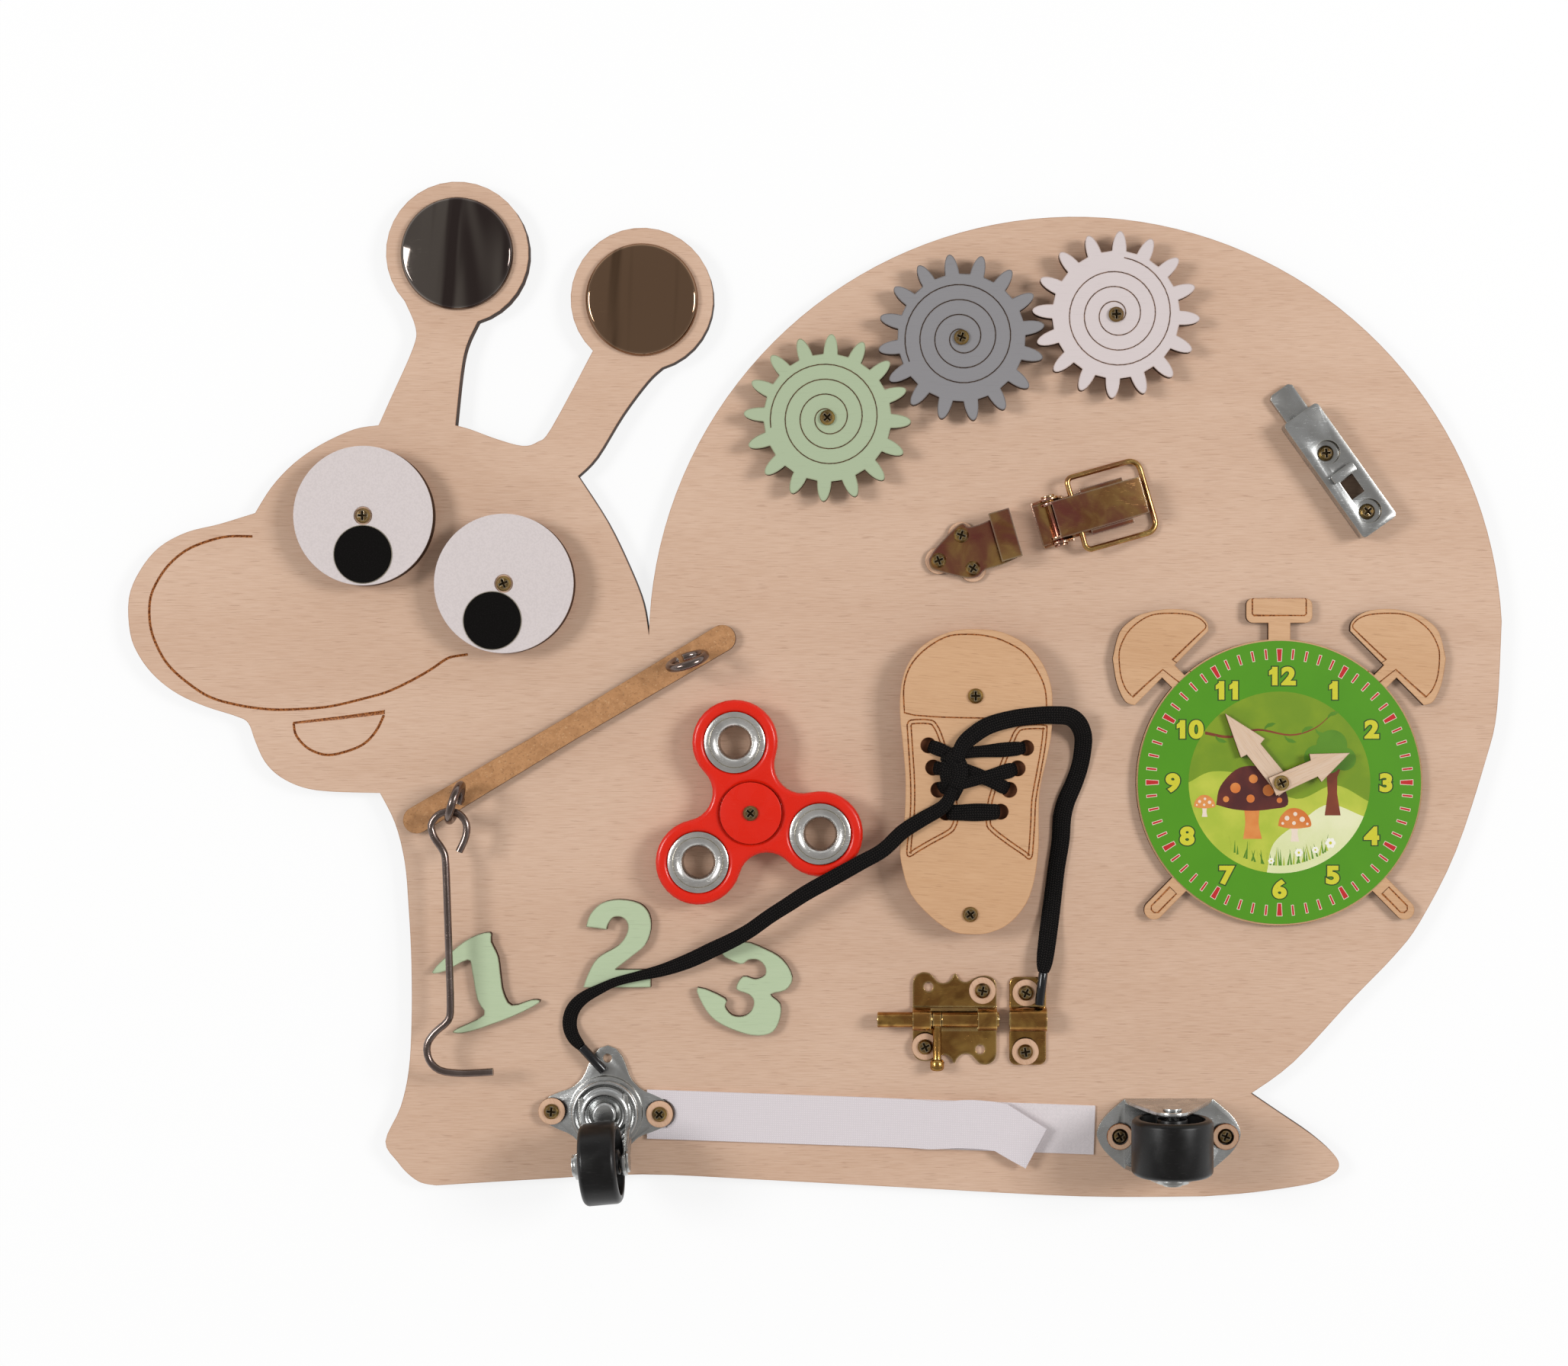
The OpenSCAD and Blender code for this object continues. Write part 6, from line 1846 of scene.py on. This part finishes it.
@dataclass
class AlarmClock:
    """The wooden alarm clock: engraved case, printed dial and two turning hands."""

    centre: Place = (168.8, -34.0)
    top: float = 9.0
    dial_top: float = 9.4
    line_width: float = 0.44
    picture_radius: float = 33.0
    tick_out: float = 48.4
    tick_length: tuple[float, float] = (3.5, 4.4)
    flag_room: float = 0.8
    numeral_radius: float = 38.7
    numeral_height: float = 6.6
    bell: Line = (
        (136.6, 6.2), (130, 10.5), (142, 22), (142, 23.4), (140, 25.4), (136.5, 26.8), (130.5, 27.4), (123.5, 27),
        (118.5, 24.8), (114, 20.8), (111.4, 16), (110.6, 12), (111.2, 5), (113, 0), (115.5, -3), (126.5, 7),
        (132.6, 2.2),
    )
    button: Line = (
        (159, 27.2), (159.6, 26.6), (178, 26.6), (178.6, 27.2), (178.6, 32.4), (178, 33), (159.6, 33), (159, 32.4),
    )
    foot: Line = ((55, -1.7), (64.6, -1.7), (65.6, -0.7), (65.6, 0.7), (64.6, 1.7), (55, 1.7))
    foot_turns: Place = (225.5, 314.5)
    hand_turns: Place = (-128.6, -23.6)

    def build(self) -> None:
        """Make the case, the dial and the hands."""
        self.case()
        dress("clock_dial", "dial_card", INK_RING)
        self.printing()
        for hand, turn in zip(("minute", "hour"), self.hand_turns):
            ply = Plywood(f"{hand} hand ply", paint(216, 194, 174), 0.52, turn=math.radians(turn), scorch=0.5)
            dress(f"clock_{hand}_hand", f"{hand}_pointer", ply)

    def case(self) -> None:
        """Engrave the bells, the button and the feet."""
        case = copy_of("clock_case", "clock_case_ply")
        clear_inside(case)
        bell = [*self.bell[:2], *spline(self.bell[2:15], 4), *self.bell[15:]]
        mirrored = [(2 * self.centre[0] - x, y) for x, y in bell]
        engrave(case, [bell, mirrored], self.top, self.line_width)
        engrave(case, [self.button], self.top, self.line_width, closed=True)
        for turn in self.foot_turns:
            engrave(case, [placed(self.foot, self.centre, angle=turn)], self.top, self.line_width, closed=True)
        finish_piece(case, FIGURE_BIRCH, "board", ["clock_case"])

    def printing(self) -> None:
        """Print the picture, the ticks and the numerals."""
        dial = DialPrinter(self.centre, self.dial_top)
        self.picture(dial)
        for minute in range(60):
            full = minute % 5 == 0
            wide_out, wide_in = (0.9, 0.6) if full else (0.36, 0.3)
            tick_in = self.tick_out - self.tick_length[full]
            for ink, grow, level in ((INK_PALE, 0.2, 0), (INK_TICK, 0.0, 1)):
                corners = [
                    (tick_in - grow, -wide_in - grow), (self.tick_out + grow, -wide_out - grow),
                    (self.tick_out + grow, wide_out + grow), (tick_in - grow, wide_in + grow),
                ]
                dial.lay(placed(corners, (0.0, 0.0), angle=90 - 6 * minute), ink, level)
        for hour in range(1, 13):
            x, y = at((0, 0), self.numeral_radius, 90 - 30 * hour)
            place = (x + self.flag_room if str(hour).startswith("1") else x, y)
            dial.numeral(str(hour), place, self.numeral_height, 0.84, INK_OUTLINE, 0)
            dial.numeral(str(hour), place, self.numeral_height, 0.44, INK_NUMERAL, 1.6)
        dial.finish("dial_print")

    def picture(self, dial: DialPrinter) -> None:
        """Print a plain meadow with toadstools, a tree, grass and daisies.

        Args:
            dial: the dial.
        """
        radius = self.picture_radius
        dial.lay(circle((0, 0), radius, 72), INK_SKY, 0)
        ridge = spline([(32.3, -6.9), (20, -1), (6, -6), (-10, 2), (-24, 4), (-33, 0)], 6)
        dial.lay([*arc((0, 0), radius, 180, 348, 36), *ridge[1:-1]], INK_MEADOW, 1)
        slope = spline([(30.6, -12.4), (18, -8), (8, -14), (-2, -22), (-4.6, -32.7)], 6)
        dial.lay([*arc((0, 0), radius, 262, 338, 20), *slope[1:-1]], INK_CREAM, 2)
        self.tree(dial, (19, -12), 1.0)
        self.twig(dial)
        self.toadstool(dial, (-10, -20.5), 1.0, INK_CAP, INK_ORANGE, INK_ORANGE)
        self.toadstool(dial, (5.5, -21.5), 0.46, INK_ORANGE, INK_PALE, INK_PALE)
        self.toadstool(dial, (-27.2, -12.5), 0.3, INK_ORANGE, INK_PALE, INK_PALE)
        rng = random.Random(7)
        for number in range(34):
            x = -17 + number * 1.05 + rng.uniform(-0.4, 0.4)
            base = -math.sqrt(max(0.0, (radius - 2.2) ** 2 - x * x)) + 0.6
            lean, tall = rng.uniform(-1.6, 1.6), rng.uniform(3.2, 6.8)
            bend, tip = (x + lean * 0.6 + 0.15, base + tall * 0.6), (x + lean, base + tall)
            ink = INK_LEAF if number % 3 else INK_MEADOW
            dial.lay([(x - 0.35, base), (x + 0.35, base), bend, tip], ink, 5 + 0.03 * number)
        for x, y, size in ((7, -25.5, 1.5), (18.5, -22, 1.9), (13, -24.5, 1.2), (-3, -28.5, 1.1)):
            for petal in range(6):
                spot = at((x, y), size * 0.62, 60 * petal)
                dial.lay(circle(spot, size * 0.42, 10), INK_WHITE, 6.1 + 0.06 * petal)
            dial.lay(circle((x, y), size * 0.3, 10), INK_NUMERAL, 7)

    @staticmethod
    def twig(dial: DialPrinter) -> None:
        """Print a hanging twig with leaves over the meadow.

        Args:
            dial: the dial.
        """
        upper = spline([(-27, 18.5), (-18, 17), (-8, 19.5), (4, 17.5), (13, 20), (20, 26)], 5)
        lower = [p - Vector((0, 1.1 - 0.16 * i / 5)) for i, p in enumerate(upper)]
        dial.lay([*upper, *lower[::-1]], INK_BARK, 2)
        leaf = [(0, 0), (1.2, 1.1), (2.9, 1.5), (4.4, 2.6), (3.2, 2.9), (1.5, 2.6), (0.4, 1.4)]
        for number, p in enumerate(upper[2:-2:3]):
            side = 1 if number % 2 else -1
            dial.lay([(p.x + u, p.y - 0.5 + side * v) for u, v in leaf], INK_LEAF, 3 + 0.05 * number)

    @staticmethod
    def toadstool(dial: DialPrinter, foot: Place, size: float, cap: Finish, stem: Finish, dot: Finish) -> None:
        """Print a toadstool of a size, standing at its foot.

        Args:
            dial: the dial.
            foot: where it stands.
            size: its scale.
            cap: the cap's ink.
            stem: the stem's ink.
            dot: the dots' ink.
        """
        x, y = foot
        stalk = spline([(-3.2, 0), (-2.4, 6), (-2.6, 14), (2.6, 14), (2.4, 6), (3.6, 0)], 4)
        dial.lay(placed(stalk, foot, size), stem, 3)
        crown = [
            (-13, 12.4), (-11.5, 19), (-6, 25), (0, 26.5), (6.5, 24.5), (11.5, 19), (13, 12.4), (7, 10.8), (0, 10.2),
            (-7, 10.8), (-13, 12.4),
        ]
        dial.lay(placed(spline(crown, 4)[:-1], foot, size), cap, 4)
        dots = ((-6, 18.5, 1.9), (0.5, 21.8, 1.6), (6, 17.6, 2.1), (-0.5, 14.6, 1.5), (-9.4, 14.4, 1.1), (10, 14, 1.0))
        for u, v, r in dots:
            dial.lay(circle((x + u * size, y + v * size), r * size, 16), dot, 5)

    @staticmethod
    def tree(dial: DialPrinter, foot: Place, size: float) -> None:
        """Print a tree with a forked trunk and a round crown.

        Args:
            dial: the dial.
            foot: where it stands.
            size: its scale.
        """
        x, y = foot
        trunk = [
            (-2.6, 0), (-1.5, 8), (-1.8, 14), (-5, 20), (-3.6, 21), (0, 15.5), (3.4, 22), (5, 21.2), (2, 14),
            (1.9, 8), (3.2, 0),
        ]
        dial.lay(placed(trunk, foot, size), INK_BARK, 3)
        for number, (u, v, r) in enumerate(((-5.5, 21, 4.6), (0, 25.5, 5.6), (4.6, 20.5, 4.2), (-1, 19.6, 4.4))):
            dial.lay(circle((x + u * size, y + v * size), r * size, 20), INK_LEAF, 4 + 0.1 * number)


# ---- Tapes ----


@dataclass
class TapeStrip:
    """The hook-and-loop tape: the lower strip on the board and the upper one with its raised, turned end."""

    thick: float = 0.75
    low: float = 6.8
    lift: Line = ((-64, 0), (22, 0), (36, 0.35), (45, 1.1), (53, 2.1), (61, 2.5), (67, 2.0))
    upper_rail: Line = (
        (-61, -145.9), (-40, -146.6), (-18, -147.4), (5, -148.2), (27, -149.0), (38, -149.5), (45, -150.0),
        (56, -149.3), (64, -149.8), (70, -150.8),
    )
    lower_rail: Line = (
        (-61, -163.7), (-40, -164.4), (-18, -165.2), (5, -166.0), (27, -166.7), (36, -167.1), (43, -167.4),
        (51, -166.8), (59, -167.0), (65.4, -167.8),
    )
    flap_far: tuple[Spot, Spot] = ((84.2, -159.6, 9.6), (76.6, -174.0, 9.3))
    flap_steps: int = 12
    castor: Place = (-75.9, -154.0)
    across: int = 9

    def build(self) -> None:
        """Lay the two strips."""
        lower = dress("hook_tape", "lower_tape", PILE_TAPE, 0.2, 1)
        upper = self.ribbon()
        cut(upper, self.castor_corner())
        finish_piece(upper, WOVEN_TAPE, "board", ["loop_tape"], 50)

    def castor_corner(self) -> Piece:
        """Shape what the castor's plate and its washer take out of the strip's left end.

        Returns:
            The cutter.
        """
        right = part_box("castor_left_plate")[1].x / MM
        x, y = self.castor
        corners = [(-100, -130), (x + 8, y + 15), (right - 9.5, y + 5.2), (right - 2.0, y + 4.6)]
        corners += arc((right - 4.2, y - 0.5), 5.2, 65, -65, 14)
        corners += [(right - 2.0, y - 5.6), (right - 9.5, y - 6.0), (x + 8, y - 16), (-100, -180)]
        return plate("corner", corners, FACE - 1, FACE + 9)

    def height(self, x: float) -> float:
        """Give the strip's lift over the lower strip at a place along it.

        Args:
            x: the place along the board.

        Returns:
            The lift in mm.
        """
        for (a, low), (b, high) in zip(self.lift, self.lift[1:]):
            if x <= b:
                share = min(1.0, max(0.0, (x - a) / (b - a)))
                return low + (high - low) * share * share * (3 - 2 * share)
        return self.lift[-1][1]

    def ribbon(self) -> Piece:
        """Loft the upper strip between its two edges and turn its end.

        Returns:
            The strip.
        """
        near = evenly(spline(self.upper_rail, 6), 1.0)
        far = spline(self.lower_rail, 6)
        far = evenly(far, sum((b - a).length for a, b in zip(far, far[1:])) / (len(near) - 1))
        rows = []
        for a, b in zip(near, far):
            row = []
            for k in range(self.across):
                share = k / (self.across - 1)
                p = a.lerp(b, share)
                row.append(Vector((p.x, p.y, self.low + self.height(p.x + 2.2 * share))))
            rows.append(row)
        ends = [Vector(p) for p in self.flap_far]
        fold = rows[-1]
        for step in range(1, self.flap_steps + 1):
            share = step / self.flap_steps
            row = []
            for k, start in enumerate(fold):
                goal = ends[0].lerp(ends[1], k / (self.across - 1))
                p = start.lerp(goal, share)
                p.z += 0.55 * math.sin(math.pi * share) + 0.25 * min(1.0, share * 4)
                row.append(p)
            rows.append(row)
        return self.sheet(rows)

    def sheet(self, rows: Sequence[Sequence[Vector]]) -> Piece:
        """Give a grid of points its thickness.

        Args:
            rows: the points, row by row along the strip.

        Returns:
            The sheet.
        """
        shape = bmesh.new()
        rings = []
        for i, row in enumerate(rows):
            under = [shape.verts.new(p * MM) for p in row]
            over = [shape.verts.new((p + Vector((0, 0, self.thick))) * MM) for p in row]
            rings.append([*over, *under[::-1]])
        for a, b in zip(rings, rings[1:]):
            for j in range(len(a)):
                k = (j + 1) % len(a)
                shape.faces.new((a[j], a[k], b[k], b[j]))
        for ring, turn in ((rings[0], 1), (rings[-1], -1)):
            for j in range(self.across - 1):
                other = len(ring) - 1 - j
                shape.faces.new([ring[j], ring[j + 1], ring[other - 1], ring[other]][::turn])
        return from_shape("upper_tape", shape)


# ---- Studio ----


@dataclass
class Studio:
    """The camera over the board, the white table, the soft lamps and the sky that the metal mirrors."""

    eye: Spot = (0.03361, 0.00208, 0.906)
    lens: float = 56.70
    shift: float = -0.0785
    lamps: Sequence[tuple[str, Spot, float, float]] = (
        ("left_lamp", (-1.45, 0.3, 1.45), 0.6, 18.0),
        ("right_lamp", (1.5, 0.35, 1.4), 0.6, 21.0),
    )

    def build(self) -> None:
        """Set up everything that isn't the board."""
        bpy.context.scene.view_settings.view_transform = "Standard"
        self.camera()
        self.table()
        self.sky()
        for name, place, size, power in self.lamps:
            self.lamp(name, place, size, power)

    def camera(self) -> None:
        """Look straight down on the board."""
        data = bpy.data.cameras.new("camera")
        data.sensor_width = 36.0
        data.sensor_fit = "HORIZONTAL"
        data.lens = self.lens
        data.shift_x = self.shift
        data.clip_start, data.clip_end = 0.01, 20.0
        data.dof.use_dof = False
        camera = new_object("camera", data)
        camera.location = self.eye
        bpy.context.scene.camera = camera

    def table(self) -> None:
        """Lay a white table just under the board: it glows for the camera and takes faint shadows."""
        floor = plate("table", [(-3000, -3000), (3000, -3000), (3000, 3000), (-3000, 3000)], -1.2, -0.2)
        material = bpy.data.materials.new("table")
        material.use_nodes = True
        wiring = Wiring(material.node_tree)
        material.node_tree.nodes.clear()
        matte = wiring.add("ShaderNodeBsdfDiffuse", {"Color": paint(245, 245, 245)}).outputs[0]
        glow = wiring.add("ShaderNodeEmission", {"Color": paint(255, 255, 255), "Strength": 1.0}).outputs[0]
        rays = wiring.add("ShaderNodeLightPath").outputs
        mirrored = wiring.sum("MAXIMUM", rays["Is Glossy Ray"], rays["Is Transmission Ray"])
        share = wiring.times(wiring.sum("MAXIMUM", rays["Is Camera Ray"], mirrored), 0.82)
        mixed = wiring.add("ShaderNodeMixShader", {0: share, 1: matte, 2: glow}).outputs[0]
        wiring.add("ShaderNodeOutputMaterial", {"Surface": mixed})
        floor.data.materials.append(material)

    def sky(self) -> None:
        """Hang a sky that is white low down and dark overhead."""
        world = bpy.data.worlds.new("sky")
        bpy.context.scene.world = world
        world.use_nodes = True
        wiring = Wiring(world.node_tree)
        world.node_tree.nodes.clear()
        way = wiring.add("ShaderNodeTexCoord").outputs["Generated"]
        up = wiring.add("ShaderNodeSeparateXYZ", {0: way}).outputs[2]
        low = wiring.blend(wiring.band(up, 0.1, 0.45), (1.0, 1.0, 1.0, 1.0), (0.42, 0.42, 0.42, 1.0))
        colour = wiring.blend(wiring.band(up, 0.45, 0.98), low, (0.36, 0.35, 0.34, 1.0))
        light = wiring.add("ShaderNodeBackground", {"Color": colour, "Strength": 1.0}).outputs[0]
        wiring.add("ShaderNodeOutputWorld", {"Surface": light})

    def lamp(self, name: str, place: Spot, size: float, power: float) -> None:
        """Hang a soft square lamp that faces the board.

        Args:
            name: its name.
            place: where it hangs, in metres.
            size: the length of its side.
            power: its power in watts.
        """
        data = bpy.data.lights.new(name, "AREA")
        data.shape = "SQUARE"
        data.size = size
        data.energy = power
        lamp = new_object(name, data)
        lamp.location = place
        lamp.rotation_euler = (-Vector(place)).to_track_quat("-Z", "Y").to_euler()


def main() -> None:
    """Build the camera and its lights, then the board from its lace to its screws."""
    Studio().build()
    groups = (LacingShoe, SnailBoard, GearTrain, Eyes, AlarmClock, FidgetSpinner, TapeStrip, Hardware)
    for group in groups:
        group().build()


if __name__ == "__main__":
    main()
